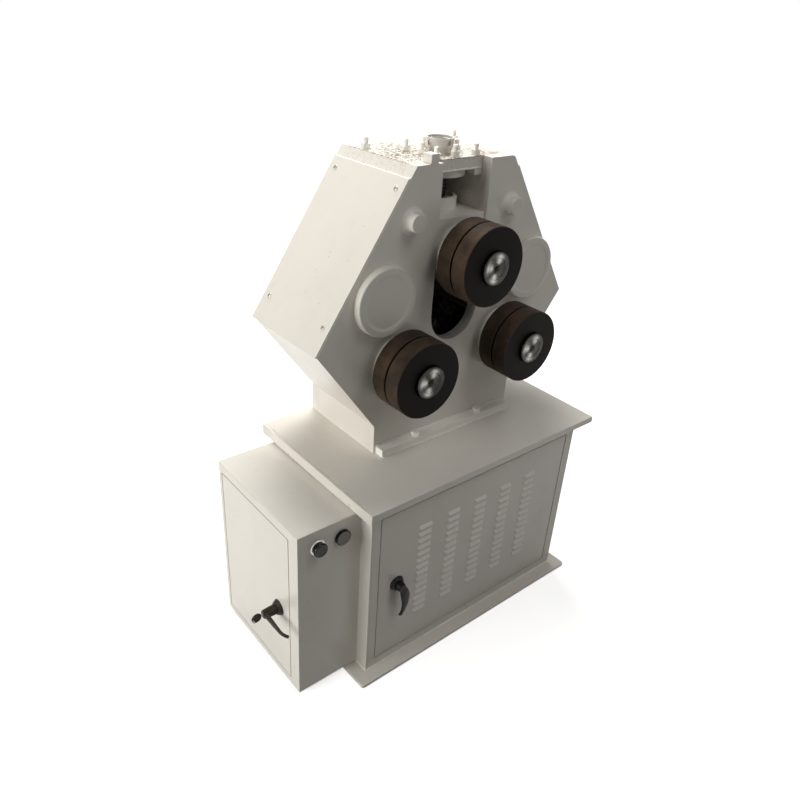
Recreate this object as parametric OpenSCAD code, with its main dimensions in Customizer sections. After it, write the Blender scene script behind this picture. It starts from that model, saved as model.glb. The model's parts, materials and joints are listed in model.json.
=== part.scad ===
// Angle roll bender: three rollers on a welded head, on a cabinet with a control box
// Millimetres, +Z up, front faces to -Y, origin at the middle of the base plate's underside

/* [Base and cabinet] */
// Thickness of the base plate
base_t = 10; // [8:1:16]
// How far the base plate reaches past the cabinet on every side
base_margin = 36; // [30:1:60]
// Corner radius of the base plate
base_corner_r = 8; // [10:1:28]
// Width of the cabinet
cabinet_w = 712; // [690:1:760]
// Depth of the cabinet
cabinet_d = 436; // [420:1:460]
// Sheet thickness of the cabinet walls
cabinet_wall = 4; // [3:0.5:6]
// Depth of the bars that frame the door opening
frame_bar = 20; // [18:1:26]
// Height of the table's top face above the floor
table_top = 530; // [510:1:560]

/* [Table] */
// Thickness of the table plate
table_t = 18; // [14:1:24]
// How far the table reaches past the cabinet in front and behind
table_front_over = 20; // [12:1:30]
// How far the table reaches past the cabinet on the left
table_left_over = 18; // [12:1:26]
// How far the table reaches past the cabinet on the right
table_right_over = 50; // [30:1:60]
// Height of the bar along the table's left edge
edge_bar_h = 28; // [24:1:34]
// Thickness of the bar along the table's left edge
edge_bar_t = 8; // [6:1:10]

/* [Cabinet door] */
// Width of frame left of the door
door_left = 29; // [26:1:40]
// Width of frame right of the door
door_right = 32; // [28:1:40]
// Height of frame under the door
door_below = 29; // [24:1:40]
// Height of frame over the door
door_above = 25; // [24:1:36]
// Gap all round a closed door
door_gap = 2.5; // [2:0.1:3.5]
// Sheet thickness of the doors
door_t = 2.5; // [2:0.1:3]
// Depth of the folded edge of the doors
door_fold = 18; // [16:1:18]
// Louvres side by side
louvre_columns = 5; // [3:1:5]
// Louvres one above the other
louvre_rows = 14; // [8:1:16]
// Width of one louvre
louvre_w = 41; // [30:1:60]
// Distance between louvre columns
louvre_dx = 94; // [70:1:100]
// Distance between louvre rows
louvre_dz = 21; // [16:1:22]
// Height of the lowest louvre above the door's lower edge
louvre_low = 92; // [80:1:130]
// How far a louvre stands out of the door
louvre_out = 4; // [3:0.5:6]

/* [Control box] */
// Width of the control box, out from the cabinet
box_w = 173; // [160:1:200]
// Depth of the control box
box_d = 363; // [340:1:380]
// How far the box's front lies behind the cabinet's front
box_setback = 41; // [30:1:50]
// Gap between the box and the base plate under it
box_lift = 2.5; // [2:0.5:6]
// Gap between the box and the table's edge bar over it
box_top_gap = 1; // [0.5:0.5:4]
// Sheet thickness of the control box
box_wall = 2.5; // [2:0.1:3]
// Width of frame in front of the box door
box_door_front = 40; // [36:1:50]
// Width of frame behind the box door
box_door_back = 16; // [14:1:24]
// Height of frame over the box door
box_door_above = 29; // [26:1:40]
// Height of frame under the box door
box_door_below = 20; // [18:1:30]
// Distance of the push buttons below the box's top
button_down = 49; // [40:1:70]
// Distance between the two push buttons
button_dx = 66; // [60:1:90]
// Radius of a push button's panel hole
button_hole_r = 15.25; // [15:0.05:15.5]
// How far a push button travels
button_travel = 4; // [2:0.5:5]
// Inner radius of the cable gland
gland_r = 8.5; // [6:0.5:9]

/* [Door handles] */
// Distance from the cabinet door's free edge to its handle
cabinet_handle_in = 57; // [50:1:70]
// Height of the cabinet door's handle above the floor
cabinet_handle_z = 265; // [220:1:300]
// Distance from the box door's free edge to its handle
box_handle_in = 47; // [40:1:60]
// Height of the box door's handle above the floor
box_handle_z = 232; // [200:1:280]
// How far the cabinet handle's hub stands out of its door
cabinet_hub_out = 26; // [25:1:40]
// How far the box handle's hub stands out of its door
box_hub_out = 44; // [36:1:55]
// Length of the cabinet handle's lever from its hub
cabinet_lever_l = 88; // [75:1:110]
// Length of the box handle's lever from its hub
box_lever_l = 98; // [80:1:120]

/* [Bending head] */
// Distance from the table's middle line to the front face of the head, front to back
head_front = 38; // [30:1:45]
// Depth of the head over both plates
head_d = 275; // [265:1:282]
// Distance from the cabinet's middle to the head's middle
head_x = 16; // [0:1:24]
// Thickness of the front and back plates
plate_t = 30; // [28:1:34]
// Height of the head above the table
head_h = 692; // [685:1:720]
// Height of the head's widest line above the table
shoulder_h = 309; // [290:1:330]
// Height above the table where the lower slopes end
waist_h = 77; // [60:1:90]
// Half width of the head at the top
top_half = 150; // [145:1:170]
// Half width of the head at its widest
shoulder_half = 403; // [390:1:420]
// Half width of the head at its foot
foot_half = 235; // [230:1:245]
// Rounding of the plates' top right corner
corner_r = 14; // [6:1:20]
// Thickness of the roof plate
roof_t = 28; // [24:1:32]
// Thickness of the lower side plates
side_t = 12; // [8:1:16]
// Thickness of the sheet covers on the upper slopes
cover_t = 3.5; // [2.5:0.5:5]
// Width of the slot that guides the slide block
slot_w = 150; // [148:1:154]
// Height above the table of the centre of the slot's round end
slot_h = 334; // [325:1:345]
// Depth of the foot flanges, out from the plates
flange_w = 28; // [26:1:32]
// Half width of the foot flanges
flange_half = 228; // [200:1:230]
// Thickness of the foot flanges
flange_t = 20; // [14:1:24]
// Distance of the foot bolts from the head's middle
foot_bolt_x = 110; // [90:1:180]

/* [Rollers] */
// Radius of the rollers
roller_r = 94.5; // [88:0.5:96]
// Width of a roller, two rings and the groove between them
roller_w = 91; // [84:1:96]
// Width of the groove between the rings
groove_w = 4; // [1:0.5:4]
// Gap between a roller and the front plate
roller_gap = 23; // [21:1:28]
// Radius of the roller shafts
shaft_r = 40; // [36:1:40]
// How far a shaft's nose stands out of its roller
nose_l = 9; // [5:1:14]
// Distance of the top roller's axis below the head's top
top_roller_down = 215; // [208:1:222]
// Distance of the lower rollers' axes from the head's middle
lower_x = 172; // [168:1:176]
// Height of the lower rollers' axes above the table
lower_h = 236; // [230:1:242]
// Outer radius of the roller bearings
bearing_r = 62.5; // [60:0.5:64]
// Width of the roller bearings
bearing_w = 22; // [18:1:24]

/* [Slide block and press] */
// Height of the slide block's top face above its roller's axis
block_above = 91; // [85:1:97]
// Distance of the centre of the slide block's round end below its roller's axis
block_below = 10; // [7:1:17]
// Gap between the slide block and each side of its slot
block_gap = 0.3; // [0.2:0.1:0.6]
// How far the slide block's face lies behind the head's face
block_recess = 5; // [3:1:8]
// Half of the slide block's depth
block_half_d = 95; // [88:1:104]
// Radius of the press screw
screw_r = 22; // [18:1:22]
// Outer radius of the collar that holds the screw on the slide block
collar_r = 50; // [44:1:56]
// Height of the collar
collar_h = 29; // [22:1:32]
// Outer radius of the housing under the roof
housing_r = 64; // [60:1:64]
// Outer radius of the drum that turns the press nut
drum_r = 33; // [33:1:40]
// Height of the drum's top above the roof
drum_h = 34; // [30:1:44]

/* [Drive] */
// Gear module
gear_m = 6; // [5.9:0.05:6.05]
// Teeth of a roller gear
roller_teeth = 32; // [31:1:32]
// Teeth of the gear between them
drive_teeth = 28; // [28:1:29]
// Face width of the gears
gear_w = 50; // [40:1:60]
// Play between meshing teeth
gear_play = 0.5; // [0.3:0.1:0.9]
// Chain pitch
chain_pitch = 25.4; // [24:0.1:26]
// Teeth of the sprocket in the head
head_sprocket_teeth = 25; // [23:1:26]
// Teeth of the sprocket in the cabinet
cabinet_sprocket_teeth = 19; // [17:1:21]
// Height of the reduction gearbox's output shaft
output_z = 280; // [270:1:290]
// Radius of the motor
motor_r = 70; // [60:1:72]
// Gap between the motor and the cabinet's left side
motor_gap = 27; // [20:1:50]

/* [Hidden] */
$fn = 64;
eps = 1;                    // how far a cut runs past a face
fit = 0.05;                 // radial clearance of a running fit
seat_fit = 0.03;            // radial clearance of a bearing in its seat
face_gap = 0.3;             // clearance between faces that pass each other
weld_gap = 0.1;             // gap between plates that are welded edge to edge

paint = [0.87, 0.85, 0.81];
roller_steel = [0.24, 0.19, 0.16];
turned_steel = [0.62, 0.61, 0.58];
dark_steel = [0.25, 0.25, 0.25];
bolt_steel = [0.70, 0.70, 0.68];
handle_metal = [0.20, 0.19, 0.18];
black_plastic = [0.05, 0.05, 0.06];
grey_plastic = [0.55, 0.55, 0.55];
gearbox_blue = [0.30, 0.36, 0.42];

// Cabinet and table faces
cab_x = cabinet_w / 2;
cab_y = cabinet_d / 2;
table_under = table_top - table_t;
table_x0 = -cab_x - table_left_over;
table_x1 = cab_x + table_right_over;
table_y = cab_y + table_front_over;

// Cabinet door
door_x0 = -cab_x + door_left;
door_w = cabinet_w - door_left - door_right;
door_z0 = base_t + door_below;
door_h = table_under - base_t - door_below - door_above;
pin_r = 3;
pin_in_x = 8;               // hinge pin's distance from the door's hinge edge
pin_in_y = 5;               // hinge pin's distance from the door's outer face
pin_reach = 10;             // how far a hinge pin enters the frame
hinge_block_w = 9;
hinge_block_h = 35;
louvre_slot = 4;
louvre_h = 10;

// Control box
box_x0 = -cab_x - box_w;
box_y0 = -cab_y + box_setback;
box_y1 = box_y0 + box_d;
box_z0 = base_t + box_lift;
box_z1 = table_top - edge_bar_h - box_top_gap;
box_mid_x = (box_x0 - cab_x) / 2;
button_z = box_z1 - button_down;
box_door_y0 = box_y0 + box_door_front;
box_door_y1 = box_y1 - box_door_back;
box_door_w = box_door_y1 - box_door_y0;
box_door_z0 = box_z0 + box_door_below;
box_door_h = box_z1 - box_door_above - box_door_z0;
wire_hole_r = 20;
wire_hole_in = 41;
wire_hole = [box_y1 - wire_hole_in, 330];
mount_plate_t = 3;
mount_plate_front = 57;
mount_plate_back = 76;
mount_plate_y = [box_y0 + mount_plate_front, box_y1 - mount_plate_back];
mount_plate_low = 47.5;
mount_plate_high = 61;
mount_plate_z = [box_z0 + mount_plate_low, box_z1 - mount_plate_high];
mount_plate_x1 = -cab_x - box_wall;
contactor = [72, 45, 80];
contactor_dy = 60;
contactor_z = 310;
relay = [72, 45, 70];
relay_z = 225;
terminals = [40, 170, 35];
terminals_z = 100;
gear_in = 25;               // first contactor's distance from the mounting plate's front edge
bezel_r = 20;
bezel_t = 3;
bezel_floor = 2;
grey_bezel_t = 8;
stem_r = 11;
stem_in = 4;
knob_r = 18;
knob_h = 9;
cap_r = 16.5;
knob_gap = button_travel + 1;
contact_block = 40;
contact_block_d = 35;
pocket_r = 16;
pocket_d = 12;
gland_hole_r = 12.5;
gland_up = 48;
gland_z = box_z0 + gland_up;
gland_out = 28;

// Door handles
rose_r = 26;
rose_top_r = 19;
rose_h = 10;
barrel_r = 10.9;
barrel_l = 8;
spindle_r = 8;
hub_r = 13;
hub_end_r = 11;
cabinet_lever_bend_r = 72;  // radius of the arc that a lever follows
box_lever_bend_r = 160;
cabinet_lever_w = 19;
box_lever_w = 12;
lever_t = 9;
box_lever_turn = 88;
cam_w = 18;
cam_t = 4;
cam_gap = 1;
cam_past = 12;              // how far a turned cam reaches past the door gap
key_r = 3;
key_depth = 14;

// Head
hc = head_x;
head_top = table_top + head_h;
shoulder_z = table_top + shoulder_h;
waist_z = table_top + waist_h;
slot_z = table_top + slot_h;
front_y = -head_front;
front_in = front_y + plate_t;
back_y = front_y + head_d;
back_in = back_y - plate_t;
slope = (shoulder_half - top_half) / (head_top - shoulder_z);
slope_len = norm([shoulder_half - top_half, head_top - shoulder_z]);
lower_len = norm([shoulder_half - foot_half, shoulder_z - waist_z]);
side_h = side_t * lower_len / (shoulder_z - waist_z);
cover_h = cover_t * slope_len / (head_top - shoulder_z);
roof_under = head_top - roof_t;
cover_top = roof_under + 3;
cover_front = front_y + 1;
cover_back = back_y - 1;
cover_screw_r = 3;
cover_screw_low = 55;
cover_screw_high = 23;
cover_screw_z = [shoulder_z + cover_screw_low, cover_top - cover_screw_high];
cover_off = weld_gap / 2;   // a cover's inner face over the plates' slope
cover_screw_in = 24;        // a cover screw's distance from the cover's front or back edge
slope_angle = atan(slope);
rail_t = 25;
rail_low = slot_z - 22;
rail_lug_t = 15;
rail_lug_w = 23;
rail_bolt_x = slot_w / 2 - 14;
roof_bolt_r = 6;
roof_bolt_h = 20;           // bare shank between a roof bolt's head and the roof
corner_bolt = [137, 100];
foot_bolt_r = 7;
washer_wide = 1.9;          // a washer's radius, in shank radii
tie_x = 154;
tie_z = head_top - 117;
tie_r = 16;
boss_r = 21.5;
boss_foot_r = 33;
boss_foot_h = 7;
boss_h = 25;
cap_x = 234;
cap_z = slot_z + 71;
cap_mid = hc + 9;           // the caps' middle lies right of the slot's
side_cap_r = 82;
side_cap_h = 19;
side_cap_edge = 4;
dish_r = 66;                // outer radius of the shallow dish in a cap's face
dish_slope = 8;
dish_h = 2.5;
sleeve_r = 62;
sleeve_bore_r = 50;
spigot_h = 6;
stop_x0 = -top_half + 38;
stop_w = 22;
stop_d = 28;
stop_h = 21;

// Rollers and shafts
top_roller_z = head_top - top_roller_down;
lower_z = table_top + lower_h;
roller_back = front_y - roller_gap;
roller_front = roller_back - roller_w;
ring_w = (roller_w - groove_w) / 2;
nose_y = roller_front - nose_l;
shoulder_r = shaft_r + 7;
lower_shaft_end = back_y - 2;
ring_hub_r = roller_r - 22;
key_w = 22;
key_up = 5;
key_down = 9;
centre_hole_r = 8;
cover_ring_r = 73;
cover_ring_h = 10;
cover_bolt_r = 5;
cover_bolt_h = 6;
cover_pcd_r = 67.5;
cover_bore_r = shoulder_r + 3;
shoulder_bore_r = bearing_r - 8;

// Slide block and press
block_top = top_roller_z + block_above;
block_z = top_roller_z - block_below;
block_half = slot_w / 2 - block_gap;
block_y0 = front_y + block_recess;
screw_y = block_y0 + block_half_d;
block_y1 = screw_y + block_half_d;
rail_bolts = [screw_y - 58, screw_y + 48];
rail_lugs = [[front_in, rail_bolts[0] + 11], [rail_bolts[1] - 10, rail_bolts[1] + 14]];
screw_top = head_top + drum_h - 7;
screw_seat = 20;
collar_recess_r = collar_r - 10;
collar_recess = 8;
nut_r = screw_r + 7;
nut_flange_r = screw_r + 18;
nut_flange_t = 13;
housing_h = 18;
drum_lift = 14;
tommy_r = 5.5;
housing_bolt_in = housing_r - 10;

// Gear train
roller_pitch_r = gear_m * roller_teeth / 2;
drive_pitch_r = gear_m * drive_teeth / 2;
centre_d = roller_pitch_r + drive_pitch_r;
drive_z = lower_z - sqrt(centre_d * centre_d - lower_x * lower_x);
gear_y1 = screw_y + 50;
drive_shaft_r = 25;
drive_bearing_r = 40;
drive_bearing_w = 16;
drive_seat = 18;
mesh_right = atan2(lower_z - drive_z, lower_x);
mesh_left = 180 - mesh_right;

// Chain drive
sprocket_in = 75;
sprocket_y = back_y - sprocket_in;
sprocket_t = 15;
sprocket_hub_r = 38;
sprocket_hub_h = 9;
chain_roller_r = 7.9;
chain_side_t = 3;
chain_side_w = 24;
head_pitch_r = chain_pitch / 2 / sin(180 / head_sprocket_teeth);
cabinet_pitch_r = chain_pitch / 2 / sin(180 / cabinet_sprocket_teeth);
chain_d = drive_z - output_z;
chain_lean = asin((head_pitch_r - cabinet_pitch_r) / chain_d);
chain_straight = sqrt(chain_d * chain_d - pow(head_pitch_r - cabinet_pitch_r, 2));
chain_room = 60;            // free straight next to each sprocket, with no chain rollers
chain_slot_x = head_pitch_r + 9;
chain_slot_y = 22;

// Reduction gearbox, motor and their bench
output_r = 20;
gearbox_r = 95;
gearbox_y0 = 20;
gearbox_w = 100;
gearbox_wall = 15;
worm_drop = 100;
worm_to_bench = 80;
bench_z = output_z - worm_drop - worm_to_bench;
bench_t = 8;
bench_leg = 20;
bench_in = 26;
bench_reach = 120;
bench_y0 = 5;
bench_d = 130;
motor_y = gearbox_y0 + gearbox_w / 2;
motor_z = output_z - worm_drop;
motor_x1 = hc - gearbox_r;
motor_l = motor_x1 + cab_x - motor_gap;
motor_flange_t = 12;
motor_flange_out = 8;
motor_body_in = 4;
cowl_l = 50;
motor_box = [90, 90, 52];
motor_box_sink = 20;
motor_foot = [120, 120, 20];
motor_foot_in = 60;

// Shared shapes

// A block between two corners
module block(from, to) {
    translate(from) cube(to - from);
}

// Stands a flat drawing up in the X-Z plane, from its back face y1 towards the front
module upright(y1, thickness) {
    translate([0, y1, 0]) rotate([90, 0, 0]) linear_extrude(thickness) children();
}

// A cylinder along Y whose back end is at y1
module rod(x, z, y0, y1, r) {
    translate([x, y1, z]) rotate([90, 0, 0]) cylinder(r = r, h = y1 - y0);
}

// A ring along Y
module ring_y(x, z, y0, y1, outer, inner) {
    difference() {
        rod(x, z, y0, y1, outer);
        rod(x, z, y0 - eps, y1 + eps, inner);
    }
}

// Puts its children on both sides of the head's middle
module both_sides() {
    translate([hc, 0, 0]) children();
    translate([hc, 0, 0]) mirror([1, 0, 0]) children();
}

// A hexagon-head bolt with its washer, standing on z = 0, with its shank below
module hex_bolt(shank_r, shank_l) {
    washer_t = 2;
    cylinder(r = shank_r * washer_wide, h = washer_t);
    translate([0, 0, washer_t]) cylinder(r = shank_r * 1.75, h = shank_r * 1.3, $fn = 6);
    translate([0, 0, -shank_l]) cylinder(r = shank_r, h = shank_l);
}

// A bolt that stands high over z = 0, with a washer and a lock nut at its foot
module locked_bolt(shank_r, shank_l, high) {
    washer_t = 2;
    cylinder(r = shank_r * washer_wide, h = washer_t);
    translate([0, 0, washer_t]) cylinder(r = shank_r * 1.75, h = shank_r * 1.3, $fn = 6);
    translate([0, 0, high]) cylinder(r = shank_r * 1.6, h = shank_r, $fn = 6);
    translate([0, 0, -shank_l]) cylinder(r = shank_r, h = shank_l + high);
}

// Points of an arc, ends included
function arc(cx, cy, r, from, to, steps) =
    [for (i = [0:steps]) let (a = from + (to - from) * i / steps) [cx + r * cos(a), cy + r * sin(a)]];

// Gear outline with involute flanks, one tooth centred on angle 0
function involute(a) = tan(a) * 180 / PI - a;
function half_tooth(r, pitch_r, teeth) =
    let (base_r = pitch_r * cos(20), a = acos(min(1, base_r / max(r, base_r))))
    90 / teeth + involute(20) - involute(a) - gear_play / 4 / pitch_r * 180 / PI;
function gear_outline(teeth, steps = 4) =
    let (pitch_r = gear_m * teeth / 2, root_r = pitch_r - 1.25 * gear_m, tip_r = pitch_r + gear_m)
    [for (k = [0:teeth - 1]) let (c = k * 360 / teeth) each concat(
        [for (i = [0:steps]) let (r = root_r + (tip_r - root_r) * i / steps)
            r * [cos(c - half_tooth(r, pitch_r, teeth)), sin(c - half_tooth(r, pitch_r, teeth))]],
        [for (i = [steps:-1:0]) let (r = root_r + (tip_r - root_r) * i / steps)
            r * [cos(c + half_tooth(r, pitch_r, teeth)), sin(c + half_tooth(r, pitch_r, teeth))]])];

// Turn of a roller gear so that it meshes with the unturned drive gear in direction a
function mesh_turn(a) = a + 180 + drive_teeth / roller_teeth * a + 180 / roller_teeth;

module gear(x, z, teeth, turn, bore) {
    difference() {
        translate([x, 0, z]) upright(gear_y1, gear_w) rotate(turn) polygon(gear_outline(teeth));
        rod(x, z, gear_y1 - gear_w - eps, gear_y1 + eps, bore);
    }
}

module sprocket(x, z, teeth, bore) {
    pitch_r = chain_pitch / 2 / sin(180 / teeth);
    y0 = sprocket_y - sprocket_t / 2;
    difference() {
        union() {
            rod(x, z, y0, y0 + sprocket_t, pitch_r + 5);
            rod(x, z, y0 - sprocket_hub_h, y0 + sprocket_t, sprocket_hub_r);
        }
        for (k = [0:teeth - 1])
            rod(x + pitch_r * cos(k * 360 / teeth), z + pitch_r * sin(k * 360 / teeth),
                y0 - eps, y0 + sprocket_t + eps, chain_roller_r + 0.3);
        rod(x, z, y0 - sprocket_hub_h - eps, y0 + sprocket_t + eps, bore);
    }
}

// Base and cabinet

module base_plate() {
    x = cab_x + base_margin;
    y = cab_y + base_margin;
    color(paint) {
        block([-x + base_corner_r, -y, 0], [x - base_corner_r, y, base_t]);
        block([-x, -y + base_corner_r, 0], [x, y - base_corner_r, base_t]);
        for (sx = [-1, 1], sy = [-1, 1])
            translate([sx * (x - base_corner_r), sy * (y - base_corner_r), 0])
                cylinder(r = base_corner_r, h = base_t);
    }
}

module cabinet_walls() {
    color(paint) {
        difference() {
            block([-cab_x, -cab_y, base_t], [-cab_x + cabinet_wall, cab_y, table_under]);
            translate([-cab_x - eps, wire_hole[0], wire_hole[1]])
                rotate([0, 90, 0]) cylinder(r = wire_hole_r, h = cabinet_wall + 2 * eps);
        }
        block([cab_x - cabinet_wall, -cab_y, base_t], [cab_x, cab_y, table_under]);
        block([-cab_x + cabinet_wall + weld_gap, cab_y - cabinet_wall, base_t],
              [cab_x - cabinet_wall - weld_gap, cab_y, table_under]);
    }
}

module cabinet_front_frame() {
    x0 = -cab_x + cabinet_wall;
    x1 = cab_x - cabinet_wall;
    open_x0 = door_x0 - door_gap;
    open_x1 = door_x0 + door_w + door_gap;
    open_z0 = door_z0 - door_gap;
    open_z1 = door_z0 + door_h + door_gap;
    pin_x = door_x0 + door_w - pin_in_x;
    color(paint) difference() {
        union() {
            for (x = [[x0, open_x0], [open_x1, x1]])
                block([x[0], -cab_y, open_z0 + weld_gap],
                      [x[1], -cab_y + frame_bar, open_z1 - weld_gap]);
            block([x0, -cab_y, base_t], [x1, -cab_y + frame_bar, open_z0]);
            block([x0, -cab_y, open_z1], [x1, -cab_y + frame_bar, table_under]);
        }
        for (z = [open_z0 - pin_reach - eps, open_z1])
            translate([pin_x, -cab_y + pin_in_y, z])
                cylinder(r = pin_r + fit, h = pin_reach + eps);
    }
}

module table_plate() {
    color(paint) difference() {
        block([table_x0 + edge_bar_t, -table_y, table_under], [table_x1, table_y, table_top]);
        block([hc - chain_slot_x, sprocket_y - chain_slot_y, table_under - eps],
              [hc + chain_slot_x, sprocket_y + chain_slot_y, table_top + eps]);
    }
}

module table_edge_bar() {
    color(paint) block([table_x0, -table_y, table_top - edge_bar_h],
                       [table_x0 + edge_bar_t, table_y, table_top]);
}

// Doors, drawn with the lower left corner of the outer face at the origin, inside towards +Y

module door_panel(w, h) {
    difference() {
        cube([w, door_fold, h]);
        translate([door_t, door_t, door_t])
            cube([w - 2 * door_t, door_fold, h - 2 * door_t]);
        children();
    }
}

module pin_holes(w, h, hinge_x) {
    translate([hinge_x, pin_in_y, -eps]) cylinder(r = pin_r + seat_fit, h = h + 2 * eps);
}

module spindle_hole(x, z) {
    translate([x, -eps, z]) rotate([-90, 0, 0]) cylinder(r = barrel_r + 0.1, h = door_t + 2 * eps);
}

// Hinge blocks and pins inside a door, and the rose round its handle's spindle
module door_fittings(w, h, hinge_x, handle_x, handle_z) {
    block_z = [door_t, h - door_t - hinge_block_h];
    edge_x = hinge_x < w / 2 ? hinge_x - pin_in_x + door_t : hinge_x + pin_in_x - door_t;
    away = hinge_x < w / 2 ? 1 : -1;
    for (z = block_z) difference() {
        translate([away > 0 ? edge_x : edge_x - hinge_block_w - 2, door_t, z])
            cube([hinge_block_w + 2, hinge_block_w, hinge_block_h]);
        translate([hinge_x, pin_in_y, z - eps])
            cylinder(r = pin_r + seat_fit, h = hinge_block_h + 2 * eps);
    }
    for (z = [-door_gap - pin_reach + face_gap, h - door_t - hinge_block_h])
        translate([hinge_x, pin_in_y, z])
            cylinder(r = pin_r, h = hinge_block_h + door_t + door_gap + pin_reach - face_gap);
    translate([handle_x, 0, handle_z]) rotate([90, 0, 0]) difference() {
        union() {
            cylinder(r1 = rose_r, r2 = rose_top_r, h = rose_h);
            translate([0, 0, -barrel_l]) cylinder(r = barrel_r, h = barrel_l);
            translate([0, 0, -barrel_l + 1]) cylinder(r = rose_top_r, h = 4.5, $fn = 6);
        }
        translate([0, 0, -barrel_l - eps])
            cylinder(r = spindle_r + fit, h = rose_h + barrel_l + 2 * eps);
    }
}

// A lever handle, its spindle along Y through the origin. Its lever hangs down, turned by
// the angle given, and its cam stands up behind the frame's bars
module lever_handle(turn, cam_l, out, long, wide, bend_r) {
    chord_x = sqrt(bend_r * bend_r - long * long / 4);
    rotate([90, 0, 0]) {
        translate([0, 0, -frame_bar - cam_gap - cam_t])
            cylinder(r = spindle_r, h = out + frame_bar + cam_gap + cam_t - key_depth);
        difference() {
            translate([0, 0, rose_h + face_gap])
                cylinder(r1 = hub_r, r2 = hub_end_r, h = out - rose_h - face_gap);
            translate([0, 0, out - key_depth]) cylinder(r = key_r + fit, h = key_depth + eps);
        }
        translate([0, 0, -frame_bar - cam_gap - cam_t]) linear_extrude(cam_t) {
            translate([-cam_w / 2, 0]) square([cam_w, cam_l]);
            circle(r = cam_w / 2);
        }
        rotate(turn) translate([0, 0, out - 2 - lever_t]) difference() {
            linear_extrude(lever_t) {
                intersection() {
                    translate([-chord_x, -long / 2]) difference() {
                        circle(r = bend_r + wide / 2, $fn = 128);
                        circle(r = bend_r - wide / 2, $fn = 128);
                    }
                    translate([-wide, -long]) square([long, long]);
                }
                translate([0, -long]) circle(r = wide / 2);
            }
            translate([0, 0, -eps]) cylinder(r = hub_end_r - 1, h = lever_t + 2 * eps);
        }
    }
}

module at_cabinet_door() {
    translate([door_x0, -cab_y, door_z0]) children();
}

module at_box_door() {
    translate([box_x0, box_door_y1, box_door_z0]) rotate([0, 0, -90]) children();
}

module cabinet_door() {
    first_x = -door_x0 - (louvre_columns - 1) / 2 * louvre_dx;
    color(paint) at_cabinet_door() {
        door_panel(door_w, door_h) {
            pin_holes(door_w, door_h, door_w - pin_in_x);
            spindle_hole(cabinet_handle_in, cabinet_handle_z - door_z0);
            for (column = [0:louvre_columns - 1], row = [0:louvre_rows - 1])
                translate([first_x + column * louvre_dx - louvre_w / 2, -eps,
                           louvre_low + row * louvre_dz])
                    cube([louvre_w, door_t + 2 * eps, louvre_slot]);
        }
        for (column = [0:louvre_columns - 1], row = [0:louvre_rows - 1])
            translate([first_x + column * louvre_dx - louvre_w / 2, 0,
                       louvre_low + row * louvre_dz + louvre_slot])
                louvre();
    }
}

// The pressed lip over one louvre slot
module louvre() {
    rotate([90, 0, 90]) linear_extrude(louvre_w)
        polygon([[0.5, 0], [-louvre_out, -louvre_slot], [-louvre_out, -louvre_slot + 1],
                 [-1, louvre_h - louvre_slot], [0.5, louvre_h - louvre_slot]]);
}

module cabinet_door_fittings() {
    color(dark_steel) at_cabinet_door()
        door_fittings(door_w, door_h, door_w - pin_in_x,
                      cabinet_handle_in, cabinet_handle_z - door_z0);
}

module cabinet_handle() {
    color(handle_metal) at_cabinet_door()
        translate([cabinet_handle_in, 0, cabinet_handle_z - door_z0])
            lever_handle(0, cabinet_handle_in + door_gap + cam_past, cabinet_hub_out,
                         cabinet_lever_l, cabinet_lever_w, cabinet_lever_bend_r);
}

// Control box

module control_box_walls() {
    x1 = -cab_x;
    color(paint) {
        difference() {
            block([box_x0, box_y0, box_z0], [x1, box_y0 + box_wall, box_z1]);
            for (x = [-1, 1])
                rod(box_mid_x + x * button_dx / 2, button_z, box_y0 - eps,
                    box_y0 + box_wall + eps, button_hole_r);
        }
        difference() {
            block([box_x0, box_y1 - box_wall, box_z0], [x1, box_y1, box_z1]);
            rod(box_mid_x, gland_z, box_y1 - box_wall - eps, box_y1 + eps, gland_hole_r);
        }
        for (z = [box_z0, box_z1 - box_wall])
            block([box_x0, box_y0 + box_wall + weld_gap, z],
                  [x1, box_y1 - box_wall - weld_gap, z + box_wall]);
        difference() {
            block([x1 - box_wall, box_y0 + box_wall + weld_gap, box_z0 + box_wall + weld_gap],
                  [x1, box_y1 - box_wall - weld_gap, box_z1 - box_wall - weld_gap]);
            translate([x1 - box_wall - eps, wire_hole[0], wire_hole[1]])
                rotate([0, 90, 0]) cylinder(r = wire_hole_r, h = box_wall + 2 * eps);
        }
    }
}

module control_box_frame() {
    x1 = box_x0 + frame_bar;
    y0 = box_y0 + box_wall;
    y1 = box_y1 - box_wall;
    z0 = box_z0 + box_wall;
    z1 = box_z1 - box_wall;
    open_z0 = box_door_z0 - door_gap;
    open_z1 = box_door_z0 + box_door_h + door_gap;
    color(paint) difference() {
        union() {
            for (y = [[y0, box_door_y0 - door_gap], [box_door_y1 + door_gap, y1]])
                block([box_x0, y[0], open_z0 + weld_gap], [x1, y[1], open_z1 - weld_gap]);
            block([box_x0, y0, z0], [x1, y1, open_z0]);
            block([box_x0, y0, open_z1], [x1, y1, z1]);
        }
        for (z = [open_z0 - pin_reach - eps, open_z1])
            translate([box_x0 + pin_in_y, box_door_y1 - pin_in_x, z])
                cylinder(r = pin_r + fit, h = pin_reach + eps);
    }
}

module control_box_door() {
    color(paint) at_box_door() door_panel(box_door_w, box_door_h) {
        pin_holes(box_door_w, box_door_h, pin_in_x);
        spindle_hole(box_door_w - box_handle_in, box_handle_z - box_door_z0);
    }
}

module box_door_fittings() {
    color(dark_steel) at_box_door()
        door_fittings(box_door_w, box_door_h, pin_in_x,
                      box_door_w - box_handle_in, box_handle_z - box_door_z0);
}

// The box handle's lever points to the front and a little down
module box_handle() {
    color(handle_metal) at_box_door()
        translate([box_door_w - box_handle_in, 0, box_handle_z - box_door_z0])
            lever_handle(box_lever_turn, box_handle_in + door_gap + cam_past, box_hub_out,
                         box_lever_l, box_lever_w, box_lever_bend_r);
}

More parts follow.
